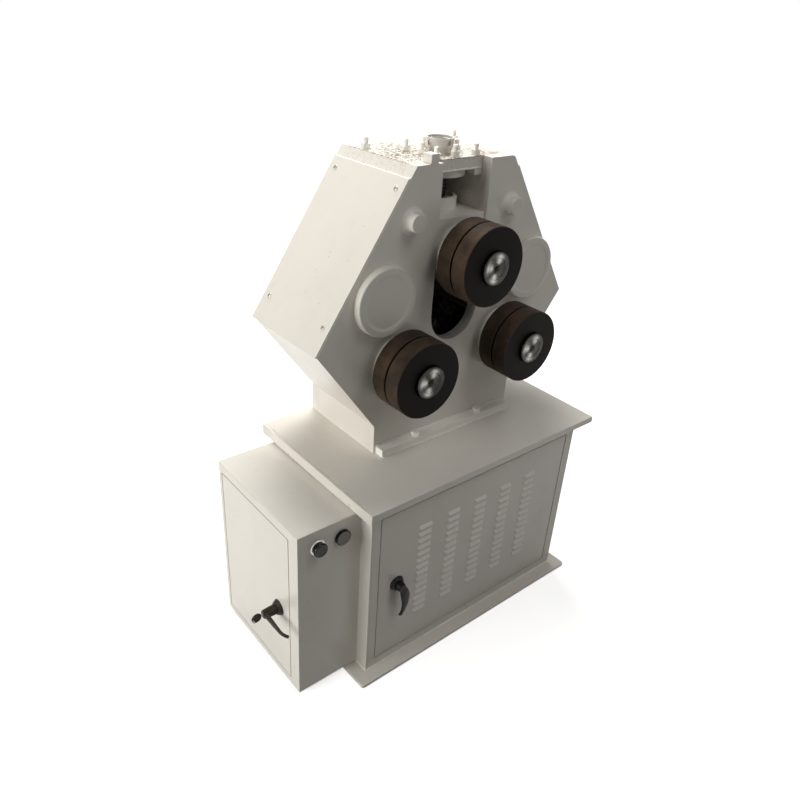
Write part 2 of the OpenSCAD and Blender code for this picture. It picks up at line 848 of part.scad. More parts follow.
module box_key() {
    color(turned_steel) at_box_door()
        translate([box_door_w - box_handle_in, -box_hub_out, box_handle_z - box_door_z0]) {
            rotate([90, 0, 0]) translate([0, 0, -key_depth + face_gap])
                cylinder(r = key_r, h = key_depth + 6);
            translate([0, -17, 0]) rotate([0, 90, 0]) translate([0, 0, -1]) difference() {
                cylinder(r = 13, h = 2);
                translate([0, -8, -eps]) cylinder(r = 2.5, h = 2 + 2 * eps);
            }
        }
}

module mounting_plate() {
    color(turned_steel)
        block([mount_plate_x1 - mount_plate_t, mount_plate_y[0], mount_plate_z[0]],
              [mount_plate_x1, mount_plate_y[1], mount_plate_z[1]]);
}

// Two contactors, an overload relay and a terminal strip, and the buttons' contact blocks
module switchgear() {
    x1 = mount_plate_x1 - mount_plate_t;
    y0 = mount_plate_y[0] + gear_in;
    color(grey_plastic) {
        for (i = [0, 1])
            translate([x1 - contactor[0], y0 + i * contactor_dy, contactor_z]) cube(contactor);
        translate([x1 - relay[0], y0, relay_z]) cube(relay);
        translate([x1 - terminals[0], y0, terminals_z]) cube(terminals);
        for (x = [-1, 1]) difference() {
            translate([box_mid_x + x * button_dx / 2 - contact_block / 2, box_y0 + box_wall,
                       button_z - contact_block / 2])
                cube([contact_block, contact_block_d, contact_block]);
            rod(box_mid_x + x * button_dx / 2, button_z, box_y0 + box_wall - eps,
                box_y0 + box_wall + pocket_d, pocket_r);
        }
    }
}

module button_bezels() {
    left = box_mid_x - button_dx / 2;
    right = box_mid_x + button_dx / 2;
    color(grey_plastic) button_ring(left, bezel_t, stem_r + face_gap);
    color(black_plastic) button_ring(right, grey_bezel_t, cap_r + face_gap);
}

// A ring on the panel, its nose through the panel's hole round the button's stem
module button_ring(x, height, inner) {
    ring_y(x, button_z, box_y0 - height, box_y0 - bezel_floor, bezel_r, inner);
    ring_y(x, button_z, box_y0 - bezel_floor, box_y0, bezel_r, stem_r + face_gap);
    ring_y(x, button_z, box_y0 - bezel_floor, box_y0 + box_wall, button_hole_r - seat_fit,
           stem_r + face_gap);
}

module black_button() {
    x = box_mid_x - button_dx / 2;
    y = box_y0 - bezel_t - knob_gap;
    color(black_plastic) {
        rod(x, button_z, y - knob_h, y, knob_r);
        rod(x, button_z, y, box_y0 + box_wall + stem_in, stem_r);
    }
}

module grey_button() {
    x = box_mid_x + button_dx / 2;
    y = box_y0 - bezel_floor - button_travel - 0.5;
    color(grey_plastic) {
        rod(x, button_z, y - 3, y, cap_r);
        rod(x, button_z, y, box_y0 + box_wall + stem_in, stem_r);
    }
}

module cable_gland() {
    color(black_plastic) difference() {
        union() {
            rod(box_mid_x, gland_z, box_y1 - box_wall - 6, box_y1, gland_hole_r - seat_fit);
            rod(box_mid_x, gland_z, box_y1, box_y1 + gland_out, gland_r + 5.5);
            translate([box_mid_x, box_y1 + 12, gland_z]) rotate([90, 0, 0])
                cylinder(r = 18, h = 12, $fn = 6);
            translate([box_mid_x, box_y1 - box_wall, gland_z]) rotate([90, 0, 0])
                cylinder(r = 18, h = 5, $fn = 6);
        }
        rod(box_mid_x, gland_z, box_y1 - box_wall - 6 - eps, box_y1 + gland_out + eps, gland_r);
    }
}

// Bending head

// Outline of the front and back plates about the head's middle
module head_outline() {
    turn = 90 - slope_angle;
    back = corner_r * tan(turn / 2);
    polygon(concat(
        [[-foot_half, table_top], [-foot_half, waist_z], [-shoulder_half, shoulder_z],
         [-top_half, head_top]],
        arc(top_half - back, head_top - corner_r, corner_r, 90, 90 - turn, 6),
        [[shoulder_half, shoulder_z], [foot_half, waist_z], [foot_half, table_top]]));
}

// The openings that both plates share: tie rods and sleeve spigots
module plate_holes(y0, y1) {
    for (side = [-1, 1]) {
        rod(hc + side * tie_x, tie_z, y0 - eps, y1 + eps, tie_r + seat_fit);
        rod(cap_mid + side * cap_x, cap_z, y0 - eps, y1 + eps, sleeve_bore_r);
        rod(hc + side * lower_x, lower_z, y0 - eps, y1 + eps, shoulder_bore_r);
    }
}

module head_front_plate() {
    color(paint) difference() {
        upright(front_in, plate_t) translate([hc, 0]) head_outline();
        upright(front_in + eps, plate_t + 2 * eps) translate([hc, 0]) {
            translate([0, slot_z]) circle(r = slot_w / 2, $fn = 96);
            translate([-slot_w / 2, slot_z]) square([slot_w, head_top - slot_z + eps]);
        }
        plate_holes(front_y, front_in);
        for (side = [-1, 1])
            rod(hc + side * lower_x, lower_z, front_y - eps, front_y + bearing_w,
                bearing_r + seat_fit);
        rod(hc, drive_z, front_in - drive_seat, front_in + eps, drive_bearing_r + seat_fit);
    }
}

module head_back_plate() {
    color(paint) difference() {
        upright(back_y, plate_t) translate([hc, 0]) head_outline();
        plate_holes(back_in, back_y);
        for (side = [-1, 1])
            rod(hc + side * lower_x, lower_z, back_y - bearing_w, back_y + eps,
                bearing_r + seat_fit);
        rod(hc, drive_z, back_in - eps, back_in + drive_seat, drive_bearing_r + seat_fit);
    }
}

module head_roof_plate() {
    low_half = top_half + slope * roof_t;
    color(paint) difference() {
        upright(back_in, back_in - front_in) translate([hc, 0])
            polygon([[-low_half, roof_under], [-top_half, head_top],
                     [top_half, head_top], [low_half, roof_under]]);
        translate([hc, screw_y, roof_under - eps]) cylinder(r = nut_r + fit, h = roof_t + 2 * eps);
        roof_bolt_places() translate([0, 0, -roof_t - eps])
            cylinder(r = roof_bolt_r + face_gap, h = roof_t + 2 * eps);
    }
}

// The rails' bolts, the housing's bolts and one bolt near each back corner, on the roof
module roof_bolt_places() {
    for (side = [-1, 1]) {
        for (y = rail_bolts) translate([hc + side * rail_bolt_x, y, head_top]) children();
        translate([hc + side * housing_bolt_in, screw_y, head_top]) children();
        translate([hc, screw_y + side * housing_bolt_in, head_top]) children();
        translate([hc + side * corner_bolt[0], screw_y + corner_bolt[1], head_top]) children();
    }
}

module head_side_plates() {
    color(paint) both_sides() {
        upright(back_in, back_in - front_in)
            polygon([[shoulder_half, shoulder_z], [foot_half, waist_z],
                     [foot_half - side_h, waist_z], [shoulder_half - side_h, shoulder_z]]);
        block([foot_half - side_t, front_in, table_top],
              [foot_half, back_in, waist_z - weld_gap]);
    }
}

module head_cover(side) {
    top_x = shoulder_half - (cover_top - shoulder_z) * slope;
    color(paint) difference() {
        translate([hc, 0, 0]) mirror([side < 0 ? 1 : 0, 0, 0])
            upright(cover_back, cover_back - cover_front)
                polygon([[shoulder_half + cover_off, shoulder_z], [top_x + cover_off, cover_top],
                         [top_x + cover_h, cover_top], [shoulder_half + cover_h, shoulder_z]]);
        cover_screw_places(side) translate([0, 0, -cover_t - eps])
            cylinder(r = cover_screw_r + face_gap, h = cover_t + 2 * eps);
    }
}

// Puts its children on a cover's outer face, +Z away from the cover
module cover_screw_places(side) {
    translate([hc, 0, 0]) mirror([side < 0 ? 1 : 0, 0, 0])
        for (y = [cover_front + cover_screw_in, cover_back - cover_screw_in], z = cover_screw_z)
            translate([shoulder_half - (z - shoulder_z) * slope + cover_h, y, z])
                rotate([0, 90 - slope_angle, 0]) children();
}

module cover_screws() {
    color(bolt_steel) {
        for (side = [-1, 1]) cover_screw_places(side) {
            cylinder(r1 = 2 * cover_screw_r, r2 = 1.4 * cover_screw_r, h = 2.5);
            translate([0, 0, -cover_t]) cylinder(r = cover_screw_r, h = cover_t);
        }
        for (side = [-1, 1], k = [0:5]) {
            x = hc + side * lower_x + cover_pcd_r * cos(k * 60 + 30);
            z = lower_z + cover_pcd_r * sin(k * 60 + 30);
            rod(x, z, front_y - cover_ring_h - cover_bolt_h, front_y - cover_ring_h, cover_bolt_r);
            rod(x, z, back_y + cover_ring_h, back_y + cover_ring_h + cover_bolt_h, cover_bolt_r);
        }
    }
}

// Rails that carry on the slot's sides, with lugs for the bolts in the roof
module guide_rails() {
    color(turned_steel) both_sides() {
        block([slot_w / 2, front_in, rail_low], [slot_w / 2 + rail_t, back_in, roof_under]);
        for (y = rail_lugs)
            block([slot_w / 2 - rail_lug_w, y[0], roof_under - rail_lug_t],
                  [slot_w / 2 + eps, y[1], roof_under]);
    }
}

// Holds the press nut's flange up against the roof
module nut_housing() {
    color(dark_steel) translate([hc, screw_y, roof_under - housing_h]) difference() {
        cylinder(r = housing_r, h = housing_h);
        translate([0, 0, housing_h - nut_flange_t - face_gap])
            cylinder(r = nut_flange_r + face_gap, h = nut_flange_t + eps);
        translate([0, 0, -eps]) cylinder(r = nut_r + face_gap, h = housing_h);
    }
}

module stop_block() {
    color(paint) block([hc + stop_x0, front_y, head_top],
                       [hc + stop_x0 + stop_w, front_y + stop_d, head_top + stop_h]);
}

module foot_bolt_places() {
    for (side = [-1, 1], y = [front_y - flange_w / 2, back_in - flange_w / 2])
        translate([hc + side * foot_bolt_x, y, table_top + flange_t]) children();
}

module foot_flanges() {
    color(paint) difference() {
        union() {
            block([hc - flange_half, front_y - flange_w, table_top],
                  [hc + flange_half, front_y, table_top + flange_t]);
            block([hc - foot_half + side_t, back_in - flange_w, table_top],
                  [hc + foot_half - side_t, back_in, table_top + flange_t]);
        }
        foot_bolt_places() translate([0, 0, -flange_t - eps])
            cylinder(r = foot_bolt_r + face_gap, h = flange_t + 2 * eps);
    }
}

module hex_bolts() {
    color(bolt_steel) {
        foot_bolt_places() hex_bolt(foot_bolt_r, flange_t);
        roof_bolt_places() locked_bolt(roof_bolt_r, roof_t, roof_bolt_h);
    }
}

// Disc over a side sleeve, its spigot in the plate
module side_caps() {
    color(paint) for (side = [-1, 1]) {
        x = cap_mid + side * cap_x;
        translate([x, front_y, cap_z]) rotate([90, 0, 0]) side_cap();
        translate([x, back_y, cap_z]) rotate([-90, 0, 0]) side_cap();
    }
}

module side_cap() {
    difference() {
        union() {
            cylinder(r = side_cap_r, h = side_cap_h - side_cap_edge);
            translate([0, 0, side_cap_h - side_cap_edge])
                cylinder(r1 = side_cap_r, r2 = side_cap_r - side_cap_edge, h = side_cap_edge);
        }
        translate([0, 0, side_cap_h - dish_h])
            cylinder(r1 = dish_r - dish_slope, r2 = dish_r, h = dish_h + eps);
    }
    translate([0, 0, -spigot_h]) cylinder(r = sleeve_bore_r - face_gap, h = spigot_h + eps);
}

module side_sleeves() {
    color(dark_steel) for (side = [-1, 1])
        ring_y(cap_mid + side * cap_x, cap_z, front_in, back_in, sleeve_r, sleeve_bore_r);
}

// Rods through both plates, with a boss welded over each end
module tie_rods() {
    color(paint) for (side = [-1, 1]) {
        rod(hc + side * tie_x, tie_z, front_y - eps, back_y + eps, tie_r);
        translate([hc + side * tie_x, front_y, tie_z]) rotate([90, 0, 0]) tie_boss();
        translate([hc + side * tie_x, back_y, tie_z]) rotate([-90, 0, 0]) tie_boss();
    }
}

module tie_boss() {
    cylinder(r1 = boss_foot_r, r2 = boss_r, h = boss_foot_h);
    cylinder(r = boss_r, h = boss_h);
}

// Four bearings of the lower shafts, then two of the drive shaft
module shaft_bearings() {
    color(turned_steel) {
        for (side = [-1, 1]) {
            x = hc + side * lower_x;
            ring_y(x, lower_z, front_y, front_y + bearing_w, bearing_r, shaft_r + fit);
            ring_y(x, lower_z, back_y - bearing_w, back_y, bearing_r, shaft_r + fit);
        }
        ring_y(hc, drive_z, front_in - drive_bearing_w, front_in, drive_bearing_r,
               drive_shaft_r + fit);
        ring_y(hc, drive_z, back_in, back_in + drive_bearing_w, drive_bearing_r,
               drive_shaft_r + fit);
    }
}

module bearing_covers() {
    color(paint) for (side = [-1, 1]) {
        x = hc + side * lower_x;
        ring_y(x, lower_z, front_y - cover_ring_h, front_y, cover_ring_r, cover_bore_r);
        rod(x, lower_z, back_y, back_y + cover_ring_h, cover_ring_r);
    }
}

// Slide block and press

module slide_block() {
    color(paint) difference() {
        upright(block_y1, block_y1 - block_y0) translate([hc, 0]) {
            translate([0, block_z]) circle(r = block_half, $fn = 96);
            translate([-block_half, block_z]) square([2 * block_half, block_top - block_z]);
        }
        rod(hc, top_roller_z, block_y0 - eps, block_y1 + eps, shoulder_bore_r);
        rod(hc, top_roller_z, block_y0 - eps, block_y0 + bearing_w, bearing_r + seat_fit);
        rod(hc, top_roller_z, block_y1 - bearing_w, block_y1 + eps, bearing_r + seat_fit);
        translate([hc, screw_y, block_top - screw_seat])
            cylinder(r = screw_r + seat_fit, h = screw_seat + eps);
    }
}

// The press screw and the collar that holds it on the slide block
module press_screw() {
    color(turned_steel) translate([hc, screw_y, block_top - screw_seat])
        cylinder(r = screw_r, h = screw_top - block_top + screw_seat);
    color(dark_steel) translate([hc, screw_y, block_top]) difference() {
        cylinder(r = collar_r, h = collar_h);
        translate([0, 0, -eps]) cylinder(r = screw_r + seat_fit, h = collar_h + 2 * eps);
        translate([0, 0, collar_h - collar_recess])
            cylinder(r = collar_recess_r, h = collar_recess + eps);
    }
}

module block_bearings() {
    color(turned_steel) {
        ring_y(hc, top_roller_z, block_y0, block_y0 + bearing_w, bearing_r, shaft_r + fit);
        ring_y(hc, top_roller_z, block_y1 - bearing_w, block_y1, bearing_r, shaft_r + fit);
    }
}

// Covers over the slide block's bearings, with their screws
module block_covers() {
    color(paint) {
        ring_y(hc, top_roller_z, block_y0 - cover_ring_h, block_y0, cover_ring_r, cover_bore_r);
        rod(hc, top_roller_z, block_y1, block_y1 + cover_ring_h, cover_ring_r);
    }
    color(bolt_steel) for (k = [0:5]) {
        x = hc + cover_pcd_r * cos(k * 60 + 30);
        z = top_roller_z + cover_pcd_r * sin(k * 60 + 30);
        rod(x, z, block_y0 - cover_ring_h - cover_bolt_h, block_y0 - cover_ring_h, cover_bolt_r);
        rod(x, z, block_y1 + cover_ring_h, block_y1 + cover_ring_h + cover_bolt_h, cover_bolt_r);
    }
}

// The nut, its flange held in the housing, its neck through the roof
module press_nut() {
    color(turned_steel) translate([hc, screw_y, 0]) difference() {
        union() {
            translate([0, 0, roof_under - nut_flange_t])
                cylinder(r = nut_flange_r, h = nut_flange_t - face_gap);
            translate([0, 0, roof_under - housing_h])
                cylinder(r = nut_r, h = housing_h + roof_t + drum_h - 5);
        }
        translate([0, 0, roof_under - housing_h - eps])
            cylinder(r = screw_r + fit, h = housing_h + roof_t + drum_h);
    }
}

module nut_drum() {
    color(paint) translate([hc, screw_y, head_top]) difference() {
        translate([0, 0, drum_lift]) cylinder(r = drum_r, h = drum_h - drum_lift);
        translate([0, 0, -eps]) cylinder(r = nut_r + seat_fit, h = drum_h + 2 * eps);
        for (turn = [0, 90]) translate([0, 0, (drum_lift + drum_h) / 2]) rotate([90, 0, turn])
            translate([0, 0, -drum_r - eps]) cylinder(r = tommy_r, h = 2 * (drum_r + eps));
    }
}

// Rollers and shafts

// A roller shaft with a shoulder for its roller, a centre hole in its nose, and its key
module roller_shaft(x, z, shoulder_y, end_y) {
    color(turned_steel) difference() {
        union() {
            rod(x, z, nose_y, end_y, shaft_r);
            rod(x, z, roller_back, shoulder_y, shoulder_r);
        }
        translate([x, nose_y - eps, z]) rotate([-90, 0, 0])
            cylinder(r = centre_hole_r, h = 12 + eps);
        roller_key(x, z, 0);
    }
    color(dark_steel) roller_key(x, z, 0.02);
}

// The key on top of a shaft, drawn smaller all round by the value given
module roller_key(x, z, less) {
    block([x - key_w / 2 + less, roller_front + less, z + shaft_r - key_down + less],
          [x + key_w / 2 - less, roller_back - less, z + shaft_r + key_up - less]);
}

// Two roller rings that meet at their hubs, with a keyway
module roller_rings(x, z) {
    color(roller_steel) for (front = [true, false]) {
        y0 = front ? roller_front : roller_back - ring_w;
        difference() {
            union() {
                rod(x, z, y0, y0 + ring_w, roller_r);
                if (front) rod(x, z, y0, y0 + ring_w + groove_w - weld_gap, ring_hub_r);
            }
            rod(x, z, roller_front - eps, roller_back + eps, shaft_r + seat_fit);
            roller_key(x, z, -0.1);
        }
    }
}

module top_shaft() {
    roller_shaft(hc, top_roller_z, block_y0 - face_gap, block_y1 - 2);
}

module top_roller_rings() {
    roller_rings(hc, top_roller_z);
}

module lower_shaft(side) {
    roller_shaft(hc + side * lower_x, lower_z, front_y - face_gap, lower_shaft_end);
}

module lower_rings(side) {
    roller_rings(hc + side * lower_x, lower_z);
}

module lower_gear(side) {
    color(dark_steel)
        gear(hc + side * lower_x, lower_z, roller_teeth,
             mesh_turn(side < 0 ? mesh_left : mesh_right), shaft_r + seat_fit);
}

// Drive

module drive_shaft() {
    color(turned_steel)
        rod(hc, drive_z, front_in - drive_bearing_w, back_in + drive_bearing_w, drive_shaft_r);
}

module drive_gear() {
    color(dark_steel) gear(hc, drive_z, drive_teeth, 0, drive_shaft_r + seat_fit);
}

module head_sprocket() {
    color(dark_steel) sprocket(hc, drive_z, head_sprocket_teeth, drive_shaft_r + seat_fit);
}

module cabinet_sprocket() {
    color(dark_steel) sprocket(hc, output_z, cabinet_sprocket_teeth, output_r + seat_fit);
}

// Outline of the chain's pitch line, grown by the value given
module chain_outline(grow) {
    r1 = head_pitch_r + grow;
    r2 = cabinet_pitch_r + grow;
    s = sin(chain_lean);
    c = cos(chain_lean);
    translate([0, drive_z]) circle(r = r1, $fn = 96);
    translate([0, output_z]) circle(r = r2, $fn = 96);
    polygon([[r1 * c, drive_z - r1 * s], [-r1 * c, drive_z - r1 * s],
             [-r2 * c, output_z - r2 * s], [r2 * c, output_z - r2 * s]]);
}

// The chain as two side strips, with rollers between them on the straight runs
module drive_chain() {
    y_in = sprocket_t / 2 + 0.6;
    count = floor((chain_straight - 2 * chain_room) / chain_pitch);
    s = sin(chain_lean);
    c = cos(chain_lean);
    color(dark_steel) translate([hc, 0, 0]) {
        for (y = [sprocket_y - y_in, sprocket_y + y_in + chain_side_t])
            upright(y, chain_side_t) difference() {
                chain_outline(chain_side_w / 2);
                chain_outline(-chain_side_w / 2);
            }
        for (side = [-1, 1], k = [0:count]) {
            along = chain_room + k * chain_pitch;
            x = head_pitch_r * c - along * s;
            z = drive_z - head_pitch_r * s - along * c;
            rod(side * x, z, sprocket_y - y_in, sprocket_y + y_in, chain_roller_r);
        }
    }
}

// A plate on two legs that carries the gearbox and the motor
module drive_bench() {
    x0 = -cab_x + bench_in;
    x1 = hc + bench_reach;
    color(gearbox_blue) {
        block([x0, bench_y0, bench_z - bench_t], [x1, bench_y0 + bench_d, bench_z]);
        for (x = [x0, x1 - bench_leg])
            block([x, bench_y0, base_t],
                  [x + bench_leg, bench_y0 + bench_d, bench_z - bench_t - weld_gap]);
    }
}

module gearbox_housing() {
    y1 = gearbox_y0 + gearbox_w;
    color(gearbox_blue) difference() {
        union() {
            rod(hc, output_z, gearbox_y0, y1, gearbox_r);
            block([hc - gearbox_r, gearbox_y0, bench_z], [hc + gearbox_r, y1, output_z]);
        }
        rod(hc, output_z, gearbox_y0 + gearbox_wall, y1 + eps, output_r + fit);
    }
}

module output_shaft() {
    color(turned_steel)
        rod(hc, output_z, gearbox_y0 + gearbox_wall + face_gap, sprocket_y + sprocket_t, output_r);
}

module drive_motor() {
    x0 = motor_x1 - motor_l;
    x1 = motor_x1 - motor_foot_in;
    color(gearbox_blue) {
        translate([x0, motor_y, motor_z]) rotate([0, 90, 0])
            cylinder(r = motor_r - motor_body_in, h = motor_l);
        translate([motor_x1 - motor_flange_t, motor_y, motor_z]) rotate([0, 90, 0])
            cylinder(r = motor_r + motor_flange_out, h = motor_flange_t);
        translate([x0, motor_y, motor_z]) rotate([0, 90, 0]) cylinder(r = motor_r, h = cowl_l);
        block([x1 - motor_box[0], motor_y - motor_box[1] / 2, motor_z + motor_r - motor_box_sink],
              [x1, motor_y + motor_box[1] / 2, motor_z + motor_r - motor_box_sink + motor_box[2]]);
        block([x1 - motor_foot[0], motor_y - motor_foot[1] / 2, bench_z],
              [x1, motor_y + motor_foot[1] / 2, motor_z - motor_r + motor_foot[2]]);
    }
}

base_plate();
cabinet_walls();
cabinet_front_frame();
table_plate();
table_edge_bar();
cabinet_door();
cabinet_door_fittings();
cabinet_handle();
control_box_walls();
control_box_frame();
control_box_door();
box_door_fittings();
box_handle();
box_key();
mounting_plate();
switchgear();
button_bezels();
black_button();
grey_button();
cable_gland();
head_front_plate();
head_back_plate();
head_roof_plate();
head_side_plates();
head_cover(-1);  // left_head_cover
head_cover(1);  // right_head_cover
cover_screws();
guide_rails();
nut_housing();
stop_block();
foot_flanges();
hex_bolts();
side_caps();
side_sleeves();
tie_rods();
shaft_bearings();
bearing_covers();
slide_block();
press_screw();
block_bearings();
block_covers();
press_nut();
nut_drum();
top_shaft();
top_roller_rings();
lower_shaft(-1);  // lower_left_shaft
lower_rings(-1);  // lower_left_rings
lower_gear(-1);  // lower_left_gear
lower_shaft(1);  // lower_right_shaft
lower_rings(1);  // lower_right_rings
lower_gear(1);  // lower_right_gear
drive_shaft();
drive_gear();
head_sprocket();
drive_chain();
drive_bench();
gearbox_housing();
output_shaft();
cabinet_sprocket();
drive_motor();
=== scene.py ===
"""Angle roll bender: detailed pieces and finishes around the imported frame, with its floor,
light and camera."""

import json
import math
import random

import bmesh
import bpy
from mathutils import Matrix, Vector

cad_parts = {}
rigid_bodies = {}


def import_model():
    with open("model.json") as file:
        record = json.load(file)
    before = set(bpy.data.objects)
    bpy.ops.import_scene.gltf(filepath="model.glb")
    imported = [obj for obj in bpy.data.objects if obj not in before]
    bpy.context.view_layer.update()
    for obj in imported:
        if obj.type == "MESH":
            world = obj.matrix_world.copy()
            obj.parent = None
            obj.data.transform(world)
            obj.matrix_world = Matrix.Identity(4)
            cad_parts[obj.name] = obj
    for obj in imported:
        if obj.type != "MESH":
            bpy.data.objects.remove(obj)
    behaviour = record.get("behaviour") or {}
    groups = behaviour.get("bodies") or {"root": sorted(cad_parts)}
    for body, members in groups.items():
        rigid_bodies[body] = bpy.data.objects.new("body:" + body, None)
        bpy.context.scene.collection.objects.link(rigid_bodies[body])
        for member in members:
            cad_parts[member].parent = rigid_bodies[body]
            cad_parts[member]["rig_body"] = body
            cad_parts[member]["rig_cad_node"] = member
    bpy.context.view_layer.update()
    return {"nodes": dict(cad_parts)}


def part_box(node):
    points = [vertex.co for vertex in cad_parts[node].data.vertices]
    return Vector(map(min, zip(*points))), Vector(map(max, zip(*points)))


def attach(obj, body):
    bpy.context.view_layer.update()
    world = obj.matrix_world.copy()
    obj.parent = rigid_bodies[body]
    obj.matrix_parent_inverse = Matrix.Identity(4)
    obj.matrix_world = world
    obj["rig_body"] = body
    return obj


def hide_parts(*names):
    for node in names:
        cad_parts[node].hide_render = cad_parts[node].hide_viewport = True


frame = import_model()
chance = random.Random(7)

MM = 0.001
SMOOTH = math.radians(26)
# Corners nearer than this, in metres, are merged: on new pieces, and on packed ones
DOUBLE, PACKED_DOUBLE = 1e-6, 2e-6
# The least share of a face's normal that lies along an axis, for a face that looks that way
FLAT = 0.9


def mm(*values):
    """Millimetres as metres."""
    return tuple(v * MM for v in values)


# Working by hand


def only(*pieces):
    """Makes these the selected pieces and the first the active one."""
    bpy.ops.object.select_all(action="DESELECT")
    for piece in pieces:
        piece.select_set(True)
    bpy.context.view_layer.objects.active = pieces[0]


def settle(piece):
    """Puts a piece's place, turn and size into its mesh."""
    only(piece)
    bpy.ops.object.transform_apply(location=True, rotation=True, scale=True)
    return piece


def open_mesh(piece, kind="FACE"):
    """Opens a piece in edit mode with nothing selected."""
    only(piece)
    bpy.ops.object.mode_set(mode="EDIT")
    bpy.ops.mesh.select_mode(type=kind)
    bpy.ops.mesh.select_all(action="DESELECT")


def close_mesh():
    bpy.ops.object.mode_set(mode="OBJECT")


def pick(piece, kind, test):
    """Selects the faces, edges or corners of the open piece that pass the test."""
    mesh = bmesh.from_edit_mesh(piece.data)
    mesh.normal_update()
    for part in {"FACE": mesh.faces, "EDGE": mesh.edges, "VERT": mesh.verts}[kind]:
        part.select_set(bool(test(part)))
    bmesh.update_edit_mesh(piece.data)


def named(name):
    """Names the piece that was just added."""
    piece = bpy.context.view_layer.objects.active
    piece.name = name
    piece.data.name = name
    return piece


def modify(piece, kind, **settings):
    """Adds a modifier and applies it."""
    only(piece)
    made = piece.modifiers.new(kind.lower(), kind)
    for name, value in settings.items():
        setattr(made, name, value)
    bpy.ops.object.modifier_apply(modifier=made.name)
    return piece


def smooth(piece, angle=SMOOTH):
    """Shades a piece smooth over its soft edges, while its large flat faces stay flat."""
    only(piece)
    bpy.ops.object.shade_smooth_by_angle(angle=angle)
    return modify(piece, "WEIGHTED_NORMAL", keep_sharp=True, weight=50)


def ease(piece, width, segments=2, angle=32):
    """Rounds a piece's sharp edges, by a width in millimetres."""
    modify(piece, "BEVEL", width=width * MM, segments=segments, limit_method="ANGLE",
           angle_limit=math.radians(angle), use_clamp_overlap=True)
    return smooth(piece)


def outward(piece):
    """Merges doubles and turns all faces outwards."""
    open_mesh(piece)
    bpy.ops.mesh.select_all(action="SELECT")
    bpy.ops.mesh.remove_doubles(threshold=DOUBLE)
    bpy.ops.mesh.normals_make_consistent(inside=False)
    close_mesh()
    return piece


def slab(name, low, high):
    """A block between two corners, given in millimetres."""
    low, high = Vector(low) * MM, Vector(high) * MM
    bpy.ops.mesh.primitive_cube_add(size=1, location=(low + high) / 2)
    piece = named(name)
    piece.scale = high - low
    return settle(piece)


def copy_of(piece, name):
    """A copy with a mesh of its own."""
    only(piece)
    bpy.ops.object.duplicate()
    return named(name)


def joined(name, pieces):
    """Several pieces made one."""
    only(*pieces)
    if len(pieces) > 1:
        bpy.ops.object.join()
    return named(name)


def shift(piece, by, turn=(0, 0, 0)):
    """Turns a piece in place, and moves it by millimetres."""
    piece.rotation_euler = turn
    piece.location = mm(*by)
    return settle(piece)


def spin_about(piece, axis, angle, centre):
    """Turns a piece round an axis through a point."""
    centre = Vector(centre)
    turn = Matrix.Rotation(angle, 4, Vector(axis))
    piece.matrix_world = Matrix.Translation(centre) @ turn @ Matrix.Translation(-centre)
    return settle(piece)


FACING = {
    "+Z": (0, 0, 0), "-Z": (math.pi, 0, 0), "-Y": (math.pi / 2, 0, 0),
    "+Y": (-math.pi / 2, 0, 0), "+X": (0, math.pi / 2, 0), "-X": (0, -math.pi / 2, 0),
}


def place(piece, centre, facing="+Z"):
    """Turns a piece that was made standing on the origin, and moves it to its place."""
    return shift(piece, centre, FACING[facing])


def turned(name, rings, centre=(0, 0, 0), facing="+Z", sides=64, hollow=False):
    """A turned piece: a circle extruded and scaled through rings of (radius, height)."""
    rings = [mm(*ring) for ring in rings]
    (radius, height), rest = rings[0], rings[1:]
    bpy.ops.mesh.primitive_circle_add(
        vertices=sides, radius=radius, fill_type="NOTHING" if hollow else "NGON",
        location=(0, 0, height))
    piece = settle(named(name))
    only(piece)
    bpy.ops.object.mode_set(mode="EDIT")
    bpy.ops.mesh.select_mode(type="EDGE" if hollow else "FACE")
    bpy.ops.mesh.select_all(action="SELECT")
    for wide, high in rest:
        bpy.ops.mesh.extrude_region_move(TRANSFORM_OT_translate={"value": (0, 0, high - height)})
        if wide != radius:
            grow = wide / radius
            bpy.ops.transform.resize(value=(grow, grow, 1), center_override=(0, 0, high))
        radius, height = wide, high
    close_mesh()
    outward(piece)
    smooth(piece)
    return place(piece, centre, facing)


def pipe(name, points, widths, heights, sides=12, up=(0, 0, 1)):
    """A bar that follows points: a circle extruded from point to point, with half its width
    and height at each. up is the direction of its height."""
    points = [Vector(p) * MM for p in points]
    bpy.ops.mesh.primitive_circle_add(vertices=sides, radius=1, fill_type="NGON")
    piece = named(name)
    up = Vector(up)

    def stand(i):
        """The frame of the bar at its point i."""
        ahead = points[min(i + 1, len(points) - 1)] - points[max(i - 1, 0)]
        ahead.normalize()
        side = up.cross(ahead).normalized()
        over = ahead.cross(side)
        turn = Matrix((side, over, ahead)).transposed().to_4x4()
        return (Matrix.Translation(points[i]) @ turn
                @ Matrix.Diagonal((widths[i] * MM, heights[i] * MM, 1, 1)))

    piece.matrix_world = stand(0)
    settle(piece)
    only(piece)
    bpy.ops.object.mode_set(mode="EDIT")
    bpy.ops.mesh.select_mode(type="FACE")
    bpy.ops.mesh.select_all(action="SELECT")
    for i in range(1, len(points)):
        bpy.ops.mesh.extrude_region_move()
        step = stand(i) @ stand(i - 1).inverted()
        mesh = bmesh.from_edit_mesh(piece.data)
        bmesh.ops.transform(mesh, matrix=step, verts=[v for v in mesh.verts if v.select])
        bmesh.update_edit_mesh(piece.data)
    close_mesh()
    outward(piece)
    return smooth(piece, math.radians(50))


